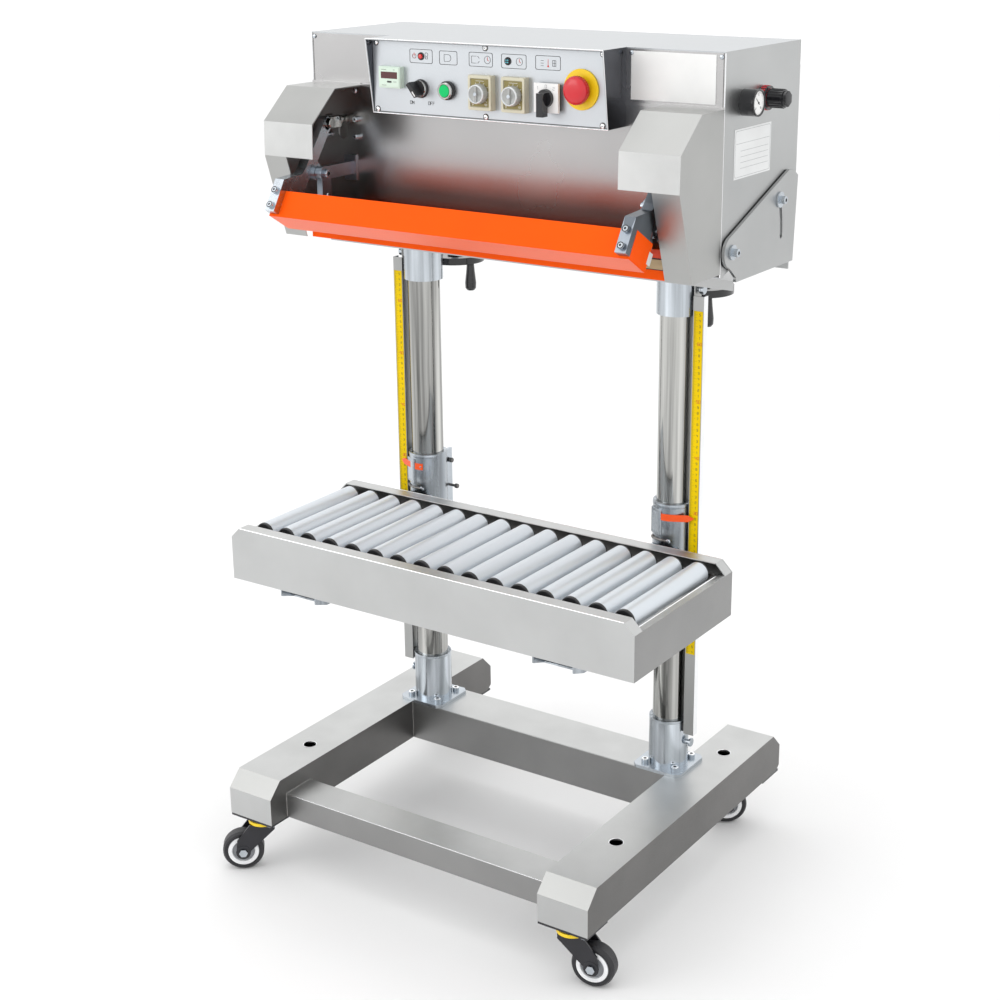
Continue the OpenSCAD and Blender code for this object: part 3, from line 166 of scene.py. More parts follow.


# Name, colour, metallic, roughness, grain, grain scale, mottle (where stretched, streaks of painted
# reflection), mottle scale
make_mat("steel", (0.50, 0.507, 0.505), 1.0, 0.40, 0.5, 1400, 0.05, 9)
# steel_dark and steel_end are darker copies of steel, painted shade on faces of the base and tray; the
# clamp pins use steel_dark as their own dark steel
make_mat("steel_dark", (0.175, 0.172, 0.168), 1.0, 0.38, 0.5, 1400, 0.14, 7)
make_mat("steel_end", (0.30, 0.30, 0.298), 1.0, 0.38, 0.5, 1400, 0.08, 7)
make_mat("steel_head", (0.45, 0.468, 0.482), 1.0, 0.34, 0.06, 1500, 0.04, 7)
# The head front darkens towards its bottom, painted shade and dark reflection of the jaws
make_mat("steel_front", (0.455, 0.45, 0.45), 1.0, 0.26, 0.05, 1500, 0.03, 7, painted_shade=(1.165, 1.268, 0.26))
# Guard metal, also a darker copy on the base's cut corners as painted shade
make_mat("steel_guard", (0.41, 0.413, 0.405), 1.0, 0.36, 0.4, 1500, 0.05, 8)
# steel_pale is a paler copy of steel, painted highlight on top faces, rail lips and the guards' upper
# fronts
make_mat("steel_pale", (0.53, 0.535, 0.53), 1.0, 0.36, 0.4, 1500, 0.06, 14)
# hood_side is a near-black copy of the hood metal, painted shade on the hood's side faces
make_mat("hood_side", (0.105, 0.11, 0.125), 1.0, 0.24, 0.05, 1500, 0.22, 12)
make_mat("steel_side", (0.43, 0.438, 0.438), 1.0, 0.32, 0.06, 1500, 0.06, 6)
# Sleeve, collar and chrome: the mottle, stretched upright, draws vertical streaks that are painted
# reflections on the round metal
make_mat("sleeve", (0.36, 0.39, 0.42), 1.0, 0.26, 0.2, 900, 0.50, 46, stretch=(1, 1, 0.04))
make_mat("collar", (0.52, 0.56, 0.60), 1.0, 0.20, 0.1, 900, 0.45, 62, stretch=(1, 1, 0.03))
make_mat("zinc", (0.50, 0.54, 0.58), 1.0, 0.26, 0.15, 800, 0.08, 40)
make_mat("blue_zinc", (0.36, 0.40, 0.45), 1.0, 0.30, 0.2, 900, 0.10, 30)
# arm_dark is a dark copy of the arm metal, painted shade; the fixed jaw's hangers and the left scale rail's
# inner face use it too
make_mat("arm_dark", (0.16, 0.18, 0.205), 1.0, 0.34, 0.2, 900, 0.12, 30)
make_mat("chrome", (0.43, 0.43, 0.415), 1.0, 0.09, 0.0, 500, 0.72, 62, stretch=(1, 1, 0.02),
         rough_var=0.03)
make_mat("weld", (0.30, 0.29, 0.28), 1.0, 0.35, 0.9, 260, 0.3, 90)
make_mat("dark", (0.014, 0.014, 0.016), 0.0, 0.42, 0.35, 1200, 0.2, 30)
make_mat("black_gloss", (0.010, 0.010, 0.012), 0.0, 0.18, 0.1, 700, 0.2, 20, coat=0.3)
make_mat("fork_black", (0.012, 0.012, 0.016), 0.1, 0.30, 0.3, 900, 0.2, 40, coat=0.1)
make_mat("rubber", (0.014, 0.014, 0.017), 0.0, 0.45, 0.6, 1500, 0.25, 60)
make_mat("hub_grey", (0.30, 0.31, 0.33), 0.0, 0.45, 0.3, 900, 0.1, 30)
make_mat("white_ring", (0.80, 0.81, 0.82), 0.0, 0.5, 0.2, 900, 0.06, 40)
make_mat("yellow", (0.92, 0.60, 0.005), 0.0, 0.38, 0.2, 900, 0.08, 30, coat=0.1)
make_mat("tape", (0.82, 0.58, 0.0), 0.0, 0.40, 0.1, 900, 0.05, 12, spec=0.12)
make_mat("ink", (0.015, 0.015, 0.015), 0.0, 0.5)
make_mat("red_ink", (0.6, 0.03, 0.02), 0.0, 0.5)
make_mat("rail", (0.38, 0.385, 0.38), 1.0, 0.38, 0.3, 900, 0.08, 14, stretch=(1, 1, 0.1))
make_mat("pointer", (0.95, 0.09, 0.004), 0.0, 0.4, 0.2, 900, 0.06, 30, coat=0.1)
make_mat("orange", (0.92, 0.090, 0.001), 0.0, 0.5, 0.3, 1100, 0.04, 10, spec=0.08)
make_mat("red_strip", (0.70, 0.05, 0.010), 0.0, 0.36, 0.3, 1100, 0.05, 10)
make_mat("ptfe", (0.50, 0.36, 0.20), 0.0, 0.42, 0.6, 1800, 0.16, 25, stretch=(1, 1, 3))
make_mat("silicone", (0.62, 0.61, 0.59), 0.0, 0.6, 0.3, 900, 0.05, 20)
make_mat("roller", (0.63, 0.675, 0.715), 0.4, 0.34, 0.03, 700, 0.02, 25, stretch=(1, 0.1, 1))
make_mat("cream", (0.58, 0.55, 0.42), 0.0, 0.4, 0.2, 1000, 0.04, 30)
make_mat("olive", (0.24, 0.20, 0.07), 0.3, 0.4, 0.2, 900, 0.08, 30)
make_mat("clear_grey", (0.36, 0.37, 0.36), 0.1, 0.2, 0.1, 800, 0.05, 30, coat=0.5)
make_mat("glassy", (0.66, 0.69, 0.70), 0.2, 0.08, 0.0, 800, 0.03, 30, coat=0.6)
make_mat("meter_green", (0.60, 0.72, 0.62), 0.0, 0.35, 0.1, 900, 0.03, 30)
make_mat("window_red", (0.07, 0.008, 0.010), 0.0, 0.12, 0.0, 900, 0.1, 30, coat=0.6)
make_mat("green", (0.0, 0.50, 0.13), 0.0, 0.30, 0.05, 900, 0.04, 30, spec=0.25)
make_mat("red", (0.55, 0.006, 0.015), 0.0, 0.28, 0.1, 900, 0.06, 20, coat=0.3)
make_mat("lamp_red", (0.65, 0.02, 0.02), 0.0, 0.15, 0.0, 900, 0.05, 20, coat=0.6)
make_mat("white", (0.80, 0.80, 0.79), 0.0, 0.38, 0.1, 900, 0.02, 30)
make_mat("cyan", (0.1, 0.5, 0.6), 0.0, 0.3)
make_mat("label", (0.70, 0.71, 0.71), 0.3, 0.35, 0.2, 900, 0.04, 20)
make_mat("panel", (0.54, 0.565, 0.59), 0.8, 0.36, 0.1, 1600, 0.02, 6)
# bright_edge is bright metal for screws, and for thin beads along edges that are painted highlights
make_mat("bright_edge", (0.90, 0.91, 0.92), 1.0, 0.16, 0.1, 900, 0.03, 30)
make_mat("label_line", (0.30, 0.31, 0.32), 0.2, 0.5)
# A paler orange, painted highlight on the moving jaw's lower face
make_mat("orange_painted_highlight", (0.90, 0.135, 0.045), 0.0, 0.45, 0.2, 1100, 0.05, 10)
make_mat("floor", (0.82, 0.82, 0.82), 0.0, 0.7, 0.0, 300, 0.01, 3)


# Geometry helpers, all lengths in millimetres

def finish_obj(name, bm, mat, body, sharp=SHARP_FLAT):
    """Mesh object with one material; sharp 0 leaves its faces flat, and the stage has no body."""
    me = bpy.data.meshes.new(name)
    bmesh.ops.recalc_face_normals(bm, faces=bm.faces)
    bm.to_mesh(me)
    bm.free()
    o = bpy.data.objects.new(name, me)
    scene.collection.objects.link(o)
    me.materials.append(MATERIALS[mat])
    if sharp:
        soften(o, sharp)
    if body:
        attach(o, body)
    return o


def soften(o, angle):
    """Smooth faces, with edges sharper than the angle kept sharp."""
    me = o.data
    me.polygons.foreach_set("use_smooth", [True] * len(me.polygons))
    me.set_sharp_from_angle(angle=math.radians(angle))


def add_bevel(o, width):
    """Rounds the edges; width in millimetres."""
    b = o.modifiers.new("edge", "BEVEL")
    b.width = width * MM
    b.segments = 2
    b.limit_method = "ANGLE"
    b.angle_limit = math.radians(ROUNDED)
    b.harden_normals = True
    b.use_clamp_overlap = True


def box_bm(bm, a, b, mtx=None):
    """Adds a box between two corners, moved by a matrix in metres."""
    vs = [bm.verts.new([c[0] * MM, c[1] * MM, c[2] * MM])
          for c in [(x, y, z) for x in (a[0], b[0]) for y in (a[1], b[1]) for z in (a[2], b[2])]]
    for f in ((0, 1, 3, 2), (4, 6, 7, 5), (0, 4, 5, 1), (2, 3, 7, 6), (0, 2, 6, 4), (1, 5, 7, 3)):
        bm.faces.new([vs[i] for i in f])
    if mtx is not None:
        bmesh.ops.transform(bm, matrix=mtx, verts=vs)


def box(name, a, b, mat, body, bevel, mtx=None):
    bm = bmesh.new()
    box_bm(bm, a, b, mtx)
    o = finish_obj(name, bm, mat, body)
    if bevel:
        add_bevel(o, bevel)


def side_box(name, s, x, y, z, mat, body, bevel, mtx=None):
    """Box from three ranges; its x range is mirrored to the left where s is -1."""
    x0, x1 = sorted((s * x[0], s * x[1]))
    box(name, (x0, y[0], z[0]), (x1, y[1], z[1]), mat, body, bevel, mtx)


def place(origin, axis):
    """Matrix that turns +Z to the axis and moves to the origin, both in millimetres."""
    q = Vector(UP).rotation_difference(Vector(axis).normalized())
    return Matrix.Translation(Vector(origin) * MM) @ q.to_matrix().to_4x4()


def lathe_bm(bm, profile, mtx, seg):
    """Closed body of revolution about Z. profile: (r, z) from one axis end to the other."""
    rings = []
    for r, z in profile:
        if r < 1e-6:
            rings.append([bm.verts.new((0, 0, z * MM))])
        else:
            rings.append([bm.verts.new((r * MM * math.cos(2 * math.pi * i / seg),
                                        r * MM * math.sin(2 * math.pi * i / seg), z * MM))
                          for i in range(seg)])
    for p, q in zip(rings, rings[1:]):
        for i in range(seg):
            j = (i + 1) % seg
            if len(p) == 1 and len(q) > 1:
                bm.faces.new((p[0], q[j], q[i]))
            elif len(q) == 1 and len(p) > 1:
                bm.faces.new((p[i], p[j], q[0]))
            elif len(p) > 1:
                bm.faces.new((p[i], p[j], q[j], q[i]))
    bmesh.ops.transform(bm, matrix=mtx, verts=[v for ring in rings for v in ring])


def lathe(name, profile, origin, axis, mat, body, seg, closed=False):
    """Turned piece; closed joins the profile's end to its start, for a ring."""
    bm = bmesh.new()
    prof = profile + [profile[0]] if closed else profile
    lathe_bm(bm, prof, place(origin, axis), seg)
    bmesh.ops.remove_doubles(bm, verts=bm.verts, dist=MERGE)
    finish_obj(name, bm, mat, body, SHARP_TURNED)


def disc_profile(r, h, e=0.5):
    """Disc with a rounded rim e wide in front and a smaller one behind."""
    return [(0, 0), (r - e * 0.3, 0), (r, e * 0.3), (r, h - e), (r - e, h), (0, h)]


def socket_screw(name, origin, axis, r, h, mat, body):
    """Cylinder head with a dark hexagonal recess."""
    seg = 36
    mouth, corner = r * 0.6, r * 0.52
    bm = bmesh.new()
    mtx = place(origin, axis)
    lathe_bm(bm, [(0, 0), (r, 0), (r, h - 0.6), (r - 0.6, h), (mouth, h)], mtx, seg)

    def hexagon(a):
        """Distance of the recess wall from the axis at an angle."""
        return corner * math.cos(math.pi / 6) / math.cos((a % (math.pi / 3)) - math.pi / 6)

    def loop(radius, z):
        angles = [2 * math.pi * i / seg for i in range(seg)]
        points = [Vector((radius(a) * math.cos(a), radius(a) * math.sin(a), z)) * MM for a in angles]
        return [bm.verts.new(mtx @ p) for p in points]

    rim = loop(lambda a: mouth, h)
    low = loop(hexagon, h * 0.35)
    top = loop(hexagon, h)
    for i in range(seg):
        j = (i + 1) % seg
        bm.faces.new((rim[i], rim[j], top[j], top[i]))
        bm.faces.new((top[i], top[j], low[j], low[i])).material_index = 1
    bm.faces.new(low).material_index = 1
    bmesh.ops.remove_doubles(bm, verts=bm.verts, dist=MERGE)
    o = finish_obj(name, bm, mat, body, SHARP_TURNED)
    o.data.materials.append(MATERIALS["dark"])


def rib_ring(name, count, low, high, origin, axis, mat, body, bevel):
    """Equal bars round an axis; low and high are the corners of one bar, with the axis as z."""
    bm = bmesh.new()
    for k in range(count):
        box_bm(bm, low, high, place(origin, axis) @ Matrix.Rotation(2 * math.pi * k / count, 4, "Z"))
    add_bevel(finish_obj(name, bm, mat, body), bevel)


def plate(name, points, y0, y1, mat, body, bevel):
    """Flat plate between two depths, from an outline of (x, z) points."""
    bm = bmesh.new()
    ends = [[bm.verts.new((x * MM, y * MM, z * MM)) for x, z in points] for y in (y0, y1)]
    bm.faces.new(ends[0])
    bm.faces.new(ends[1])
    n = len(points)
    for i in range(n):
        j = (i + 1) % n
        bm.faces.new((ends[0][i], ends[0][j], ends[1][j], ends[1][i]))
    add_bevel(finish_obj(name, bm, mat, body), bevel)


def ring_plate(name, outer, inner, at, h, mat, body, bevel):
    """Flat ring in front of a plane y = at; outer and inner outlines (x, z) have as many points."""
    bm = bmesh.new()
    loops = [[bm.verts.new((x * MM, y * MM, z * MM)) for x, z in line]
             for y in (at, at - h) for line in (outer, inner)]
    lo_out, lo_in, hi_out, hi_in = loops
    n = len(outer)
    for i in range(n):
        j = (i + 1) % n
        for a, b in ((lo_out, hi_out), (hi_out, hi_in), (hi_in, lo_in), (lo_in, lo_out)):
            bm.faces.new((a[i], a[j], b[j], b[i]))
    add_bevel(finish_obj(name, bm, mat, body), bevel)


def tube_path(name, pts, r, mat, body, jitter=0.0):
    """Round bead along points; jitter makes its width uneven, as a weld's is."""
    cu = bpy.data.curves.new(name, "CURVE")
    cu.dimensions = "3D"
    cu.bevel_depth = r * MM
    cu.bevel_resolution = 3
    cu.use_fill_caps = True
    sp = cu.splines.new("POLY")
    sp.points.add(len(pts) - 1)
    for i, p in enumerate(pts):
        sp.points[i].co = (p[0] * MM, p[1] * MM, p[2] * MM, 1)
        sp.points[i].radius = 1 + random.uniform(-jitter, jitter)
    o = bpy.data.objects.new(name, cu)
    scene.collection.objects.link(o)
    cu.materials.append(MATERIALS[mat])
    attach(o, body)


def between(a, b, n):
    """Points on the straight line from a to b, in n steps."""
    return [[a[k] + (b[k] - a[k]) * i / n for k in range(3)] for i in range(n + 1)]


# CAD nodes: materials by face

def dress(node, mats, pick=None, bevel=0):
    """Gives a CAD node its materials; pick(centre in mm, normal) returns an index."""
    o = frame["nodes"][node]
    o.data.materials.clear()
    for m in mats:
        o.data.materials.append(MATERIALS[m])
    if pick:
        for f in o.data.polygons:
            f.material_index = int(pick(f.center * 1000, f.normal))
    soften(o, SHARP_TURNED)
    if bevel:
        add_bevel(o, bevel)


def base_pick(c, n):
    """Painted light by face direction: leg sides, cut corners and the cross tubes' front faces get darker
    copies of steel as painted shade, and tops a paler copy as painted highlight.
    """
    if abs(n.x) > 0.7:
        return 1
    if abs(n.y) > 0.3 and n.z > 0.3:
        return 3
    if n.z > 0.7:
        return 2
    return 4 if abs(c.x) < CROSS_END and n.y < -0.7 else 0


dress("base_frame", ["steel", "steel_dark", "steel_pale", "steel_guard", "steel_end"], base_pick,
      bevel=4.5)


def plate_pick(c, n):
    """Zinc for the bolts under the caster plates, outside the swivel ring."""
    plate_low, ring_r = 103.9, 30
    away = math.hypot(abs(c.x) - CASTER_X, c.y - CASTER_Y["f" if c.y < 0 else "r"])
    return 1 if c.z < plate_low and away > ring_r else 0


dress("caster_plates", ["fork_black", "zinc"], plate_pick, bevel=0.4)
for key, turn in CASTER_TURN.items():
    cx = CASTER_X if key[1] == "r" else -CASTER_X
    cy = CASTER_Y[key[0]]
    ca, sa = math.cos(math.radians(turn)), math.sin(math.radians(turn))

    def wheel_frame(c, cx=cx, cy=cy, ca=ca, sa=sa):
        """Distance from the axle line and place along it, for a point in mm."""
        dx, dy = c.x - cx, c.y - cy
        return math.hypot(dx * ca + dy * sa - TRAIL, c.z - WHEEL_R), dy * ca - dx * sa

    def fork_pick(c, n, cx=cx, cy=cy, local=wheel_frame):
        """Yellow swivel ring and zinc axle ends on a black fork."""
        if 92.1 < c.z < 99 and math.hypot(c.x - cx, c.y - cy) < 29:
            return 1
        r, along = local(c)
        return 2 if r < 8.5 and abs(along) > FORK_OUT + 0.05 else 0

    dress("fork_" + key, ["fork_black", "yellow", "zinc"], fork_pick, bevel=0.8)
    dress("wheel_" + key, ["rubber", "hub_grey"], lambda c, n, local=wheel_frame: local(c)[0] < 28.9,
          bevel=1.2)
    side = Vector((-sa, ca, 0))
    axle = Vector((cx + TRAIL * ca, cy + TRAIL * sa, WHEEL_R))
    for s in (-1, 1):
        lathe("wheel_ring_%s_%d" % (key, s),
              [(20.5, 0), (20.5, 4.4), (21.2, 5.0), (27.2, 5.0), (27.9, 4.4), (27.9, 0)],
              axle + side * s * 9.3, side * s, "white_ring", "roll_" + key, 56, closed=True)
        lathe("fork_boss_%s_%d" % (key, s), [(8.2, 0), (13.4, 0), (13.4, 0.7), (12.6, 1.2), (8.2, 1.2)],
              axle + side * s * FORK_OUT, side * s, "fork_black", "caster_" + key, 40, closed=True)


def collar_pick(c, n):
    """Round walls of the collars, in the streaked metal of painted reflection, and the dark screws of the
    scale's clips.
    """
    if abs(n.z) < 0.3 and 33 < math.hypot(abs(c.x) - COLUMN_X, c.y - COLUMN_Y) < 37:
        return 2
    clip = min(abs(c.z - z) for z in CLIP_Z) < 8.5
    return 1 if clip and abs(c.x) > 300.6 and 72 < c.y < 84 else 0


dress("columns", ["chrome"], bevel=0.5)
dress("column_collars", ["zinc", "dark", "collar"], collar_pick, bevel=0.8)
# Scale rails: their +x faces are painted light, bright on the right rail as painted highlight and dark on
# the left as painted shade
dress("scale_rails", ["rail", "bright_edge", "arm_dark"],
      lambda c, n: 0 if n.x < 0.7 else 1 if c.x > 0 else 2, bevel=0.3)
dress("scale_tapes", ["tape"], bevel=0)
dress("tilt_cradle", ["steel_side"], bevel=0.8)
dress("drive_belts", ["rubber"], bevel=0)


def tray_pick(c, n):
    """Zinc axle ends; painted light by face: end faces and the long rails' inner walls darker as painted
    shade, top faces paler as painted highlight.
    """
    if abs(n.x) > 0.7 and abs(c.x) > TRAY_END + 14:
        return 2
    k = (c.x + MIDDLE * PITCH) / PITCH
    axle = abs(c.z - ROLLER_Z) < 5.2 and abs(k - round(k)) * PITCH < 5.2
    if axle and abs(n.y) < 0.5 and (-282 < c.y < -272 or -8 < c.y < 2):
        return 1
    if n.z > 0.7 and c.z > TRAY_TOP - 2:
        return 3
    inner = n.y * (c.y - TRAY_Y) < 0 and abs(c.y - TRAY_Y) > 130
    return 4 if inner and c.z < TRAY_TOP and abs(n.y) > 0.7 else 0


dress("tray_frame", ["steel", "zinc", "steel_end", "steel_pale", "steel_dark"], tray_pick, bevel=1.6)
dress("tray_carriers", ["sleeve"], bevel=0.8)
dress("height_pointers", ["pointer"], bevel=0.3)
for i in range(1, ROLLERS + 1):
    dress("roller_%02d" % i, ["roller", "dark"], lambda c, n: c.y < -260.1 or c.y > -18.9, bevel=0.8)
for side in ("right", "left"):
    dress("handwheel_" + side, ["black_gloss", "zinc"], lambda c, n: 1 if c.z > 1066.5 else 0, bevel=2.5)
    dress("lift_screw_" + side, ["zinc"], bevel=0)
dress("head_case", ["steel_side", "steel_head"], lambda c, n: 1 if n.z > 0.7 or abs(c.x) < 400 else 0,
      bevel=1.0)
dress("head_front", ["steel_front"], bevel=0.5)
# The hood's side faces take the dark copy as painted shade
dress("control_hood", ["steel_head", "hood_side"], lambda c, n: abs(n.x) > 0.7, bevel=0.8)
dress("power_unit", ["dark"], bevel=0.5)
# The guards' upper front faces take the paler steel as painted highlight
dress("arm_guards", ["steel_guard", "steel_pale"], lambda c, n: n.y < -0.95 and c.z > 1276, bevel=0.6)
dress("fulcrum_brackets", ["blue_zinc"], bevel=0.5)
dress("air_cylinders", ["rail", "zinc"], lambda c, n: 1 if c.y < -35.2 else 0, bevel=0.6)
dress("cylinder_rods", ["chrome"], bevel=0.4)


def jaw_pick(c, n):
    """With the jaw swung shut: silicone next to the fixed jaw, and dark on the rest of that side."""
    if (SHUT @ Vector(c)).y > -125.8:
        return 1
    return 2 if (SHUT.to_3x3() @ Vector(n)).y > 0.7 else 0


def arm_pick(c, n):
    """Painted light on the two like arms: the left one in paler zinc as painted highlight, and the upper
    end and upper sides of the right one dark as painted shade.
    """
    if c.x < 0:
        return 2
    return 1 if c.z > 1226 or abs(n.x) > 0.7 and c.z > 1190 else 0


dress("moving_jaw", ["orange", "silicone", "dark"], jaw_pick, bevel=1.0)
dress("jaw_arms", ["blue_zinc", "arm_dark", "zinc"], arm_pick, bevel=1.0)


def fixed_pick(c, n):
    """Hangers above the jaw in the dark copy as painted shade, its back, the sealing band in front."""
    if c.z > 1179.3:
        return 3
    if c.y > -77.9:
        return 1
    return 2 if c.y < -118.05 else 0


dress("fixed_jaw", ["orange", "dark", "ptfe", "arm_dark"], fixed_pick, bevel=0.4)
dress("tilt_bolts", ["zinc"], bevel=0.5)
dress("air_unit", ["black_gloss", "zinc"], lambda c, n: 1 if c.y > 160 else 0, bevel=0.8)
dress("regulator_knob", ["black_gloss"], bevel=1.0)


def instrument_pick(c, n):
    """Lamps in the upper row; below, the instrument is told by its place from left to right."""
    x, z = c.x, c.z
    if z > 1440:
        return 3
    if x < -160:
        return 1
    if -145 < x < -60:
        return 0
    if x > 150:
        return 2
    if x > 98:
        return 4 if c.y < -95.9 else 0
    return 5


dress("panel_instruments", ["dark", "meter_green", "yellow", "dark", "white", "cream"], instrument_pick,
      bevel=0.8)
dress("selector_knob", ["dark"], bevel=0.8)
dress("start_button", ["green"], bevel=0.8)
dress("timer_knob_left", ["clear_grey"], bevel=1.0)
dress("timer_knob_right", ["clear_grey"], bevel=1.0)
dress("cam_lever", ["black_gloss"], bevel=1.2)
dress("stop_button", ["red"], bevel=1.5)

# Flat print and stroke lettering

PLANES = {
    "front": lambda a, b, at, t: (a, at - t, b),
    "right": lambda a, b, at, t: (at + t, a, b),
}


def ribbon(name, lines, w, plane, at, mat, body, h=0.25):
    """Thin raised lines along polylines in a plane; every segment is a small closed bar."""
    bm = bmesh.new()
    put = PLANES[plane]
    for line in lines:
        for p, q in zip(line, line[1:]):
            d = Vector((q[0] - p[0], q[1] - p[1]))
            if d.length < 1e-6:
                continue
            d = d.normalized() * (w / 2)
            n = Vector((-d.y, d.x))
            corners = [(p[0] - d.x + n.x, p[1] - d.y + n.y), (p[0] - d.x - n.x, p[1] - d.y - n.y),
                       (q[0] + d.x - n.x, q[1] + d.y - n.y), (q[0] + d.x + n.x, q[1] + d.y + n.y)]
            lo = [bm.verts.new(Vector(put(c[0], c[1], at, 0)) * MM) for c in corners]
            hi = [bm.verts.new(Vector(put(c[0], c[1], at, h)) * MM) for c in corners]
            bm.faces.new(hi)
            bm.faces.new(lo[::-1])
            for i in range(4):
                j = (i + 1) % 4
                bm.faces.new((lo[i], lo[j], hi[j], hi[i]))
    finish_obj(name, bm, mat, body, 0)


def polar(x, z, r, degrees):
    """Point at a distance and an angle from (x, z)."""
    a = math.radians(degrees)
    return x + r * math.cos(a), z + r * math.sin(a)


def arc(x, z, r, a0, a1, n=20):
    return [polar(x, z, r, a0 + (a1 - a0) * i / n) for i in range(n + 1)]


def rectangle(x0, x1, z0, z1):
    return [(x0, z0), (x1, z0), (x1, z1), (x0, z1), (x0, z0)]


def round_rect(x0, x1, z0, z1, r):
    pts = []
    for cx, cz, a in ((x1 - r, z1 - r, 0), (x0 + r, z1 - r, 90), (x0 + r, z0 + r, 180),
                      (x1 - r, z0 + r, 270)):
        pts += arc(cx, cz, r, a, a + 90, 6)
    return pts + [pts[0]]


# Each sign is drawn in a field 4 wide and 6 high
STROKES = {
    "0": [[(0, 0), (4, 0), (4, 6), (0, 6), (0, 0)]],
    "1": [[(1, 5), (2.4, 6), (2.4, 0)]],
    "2": [[(0, 6), (4, 6), (4, 3.2), (0, 2.8), (0, 0), (4, 0)]],
    "3": [[(0, 6), (4, 6), (4, 0), (0, 0)], [(1, 3), (4, 3)]],
    "4": [[(0, 6), (0, 3), (4, 3)], [(3, 5), (3, 0)]],
    "5": [[(4, 6), (0, 6), (0, 3.2), (4, 3.2), (4, 0), (0, 0)]],
    "6": [[(4, 6), (0, 6), (0, 0), (4, 0), (4, 3), (0, 3)]],
    "7": [[(0, 6), (4, 6), (1.5, 0)]],
    "8": [[(0, 0), (4, 0), (4, 6), (0, 6), (0, 0)], [(0, 3), (4, 3)]],
    "9": [[(4, 3), (0, 3), (0, 6), (4, 6), (4, 0), (0, 0)]],
    "O": [[(0, 0), (4, 0), (4, 6), (0, 6), (0, 0)]],
    "N": [[(0, 0), (0, 6), (4, 0), (4, 6)]],
    "F": [[(0, 0), (0, 6), (4, 6)], [(0, 3), (3, 3)]],
}
SIGN_STEP = 5.6


def word(text, x, z, height):
    """Lines of a text whose lower left corner is at (x, z)."""
    k = height / 6
    out = []
    for i, ch in enumerate(text):
        for line in STROKES[ch]:
            out.append([(x + (i * SIGN_STEP + p[0]) * k, z + p[1] * k) for p in line])
    return out


# Control panel: face plate, printed icons and lamps

box("panel_face", (3 - HOOD_X, FACE, HOOD_LOW + 3), (HOOD_X - 3, PANEL, HOOD_HIGH - 3), "panel", HEAD, 0.3)
ICON_Z = 1448
ICON_EDGES = ((-152, -106, 1437, 1459), (-91.5, -56, 1437, 1458.5), (-32, 14, 1437, 1459),
              (31.6, 79, 1437, 1459), (97, 143.5, 1438, 1459.5))
ribbon("icon_frames", [round_rect(*edges, 3) for edges in ICON_EDGES], 0.8, "front", FACE, "ink", HEAD)

CLOCK_X = (4, 66)
THERMO_X = 120.5
lock = [arc(-118, 1451, 3, -60, 240), rectangle(-120, -116, 1444, 1447.5)]
door = [[(-82, 1442), (-82, 1453), (-74, 1453)], arc(-74, 1447.5, 5.5, 90, -90),
        [(-74, 1442), (-82, 1442)]]
film = [[(-27, 1442), (-27, 1453), (-18, 1453)], [(-27, 1442), (-18, 1442)]]
clocks = [arc(x, ICON_Z, 6, 0, 360) for x in CLOCK_X]
rays = [[(-15, 1453), (-12, 1450)], [(-15, 1442), (-12, 1445)]]
bars = [[(107, z), (112, z)] for z in (1444, 1448, 1452)]
window = [rectangle(129, 135, 1444, 1453), [(129, 1448.5), (135, 1448.5)], [(132, 1444), (132, 1453)]]
marks = lock + door + film + clocks[:1] + rays + clocks[1:] + bars + window
ribbon("icon_marks", marks, 0.6, "front", FACE, "ink", HEAD)

power = [arc(-143, ICON_Z, 3.6, 120, 420), [(-143, ICON_Z), (-143, 1453)]]
hands = []
for x in CLOCK_X:
    hands += [[(x, ICON_Z), (x, 1452)], [(x, ICON_Z), (x + 2.5, 1446.5)]]
ribbon("icon_red", power + hands + [[(THERMO_X, 1444), (THERMO_X, 1454)]], 0.8, "front", FACE, "red_ink",
       HEAD)


def lamp_ring(name, x):
    lathe(name + "_ring", [(4.4, 0), (6.4, 0), (6.4, 1.0), (5.6, 1.6), (4.4, 1.6)], (x, FACE, ICON_Z),
          FRONT, "dark", HEAD, 36, closed=True)


RUN_X, COOL_X = -129, 44
lamp_ring("lamp_run", RUN_X)
lathe("lamp_run_lens", [(0, 0), (4.3, 0), (4.3, 1.4), (3.6, 3.0), (2.0, 3.9), (0, 4.2)],
      (RUN_X, FACE, ICON_Z), FRONT, "lamp_red", HEAD, 36)
lamp_ring("lamp_cool", COOL_X)
lathe("lamp_cool_cap", disc_profile(4.4, 1.4), (COOL_X, FACE - 1.6, ICON_Z), FRONT, "dark", HEAD, 36)
for dx in (-1.7, 1.7):
    for dz in (-1.7, 1.7):
        lathe("lamp_cool_dot_%d_%d" % (dx, dz), disc_profile(1.1, 0.5, 0.2),
              (COOL_X + dx, FACE - 3.0, ICON_Z + dz), FRONT, "cyan", HEAD, 16)
lathe("thermo_bulb", disc_profile(1.6, 0.4, 0.2), (THERMO_X, FACE, 1443.6), FRONT, "red_ink", HEAD, 20)

for i, x in enumerate((-222, 0, 222)):
    for j, z in enumerate((HOOD_LOW + 6, HOOD_HIGH - 7)):
        n = "panel_screw_%d%d" % (i, j)
        lathe(n + "_seat", [(4.0, 0), (5.4, 0), (5.4, 0.5), (4.0, 0.5)], (x, FACE, z), FRONT, "ink", HEAD,
              28, closed=True)
        lathe(n, [(0, 0), (4.2, 0), (4.2, 0.9), (3.4, 2.0), (1.8, 2.7), (0, 2.8)], (x, FACE, z), FRONT,
              "bright_edge", HEAD, 28)
        ribbon(n + "_cross", [[(x - 1.6, z), (x + 1.6, z)], [(x, z - 1.6), (x, z + 1.6)]], 0.7, "front",
               FACE - 2.5, "ink", HEAD, 0.35)

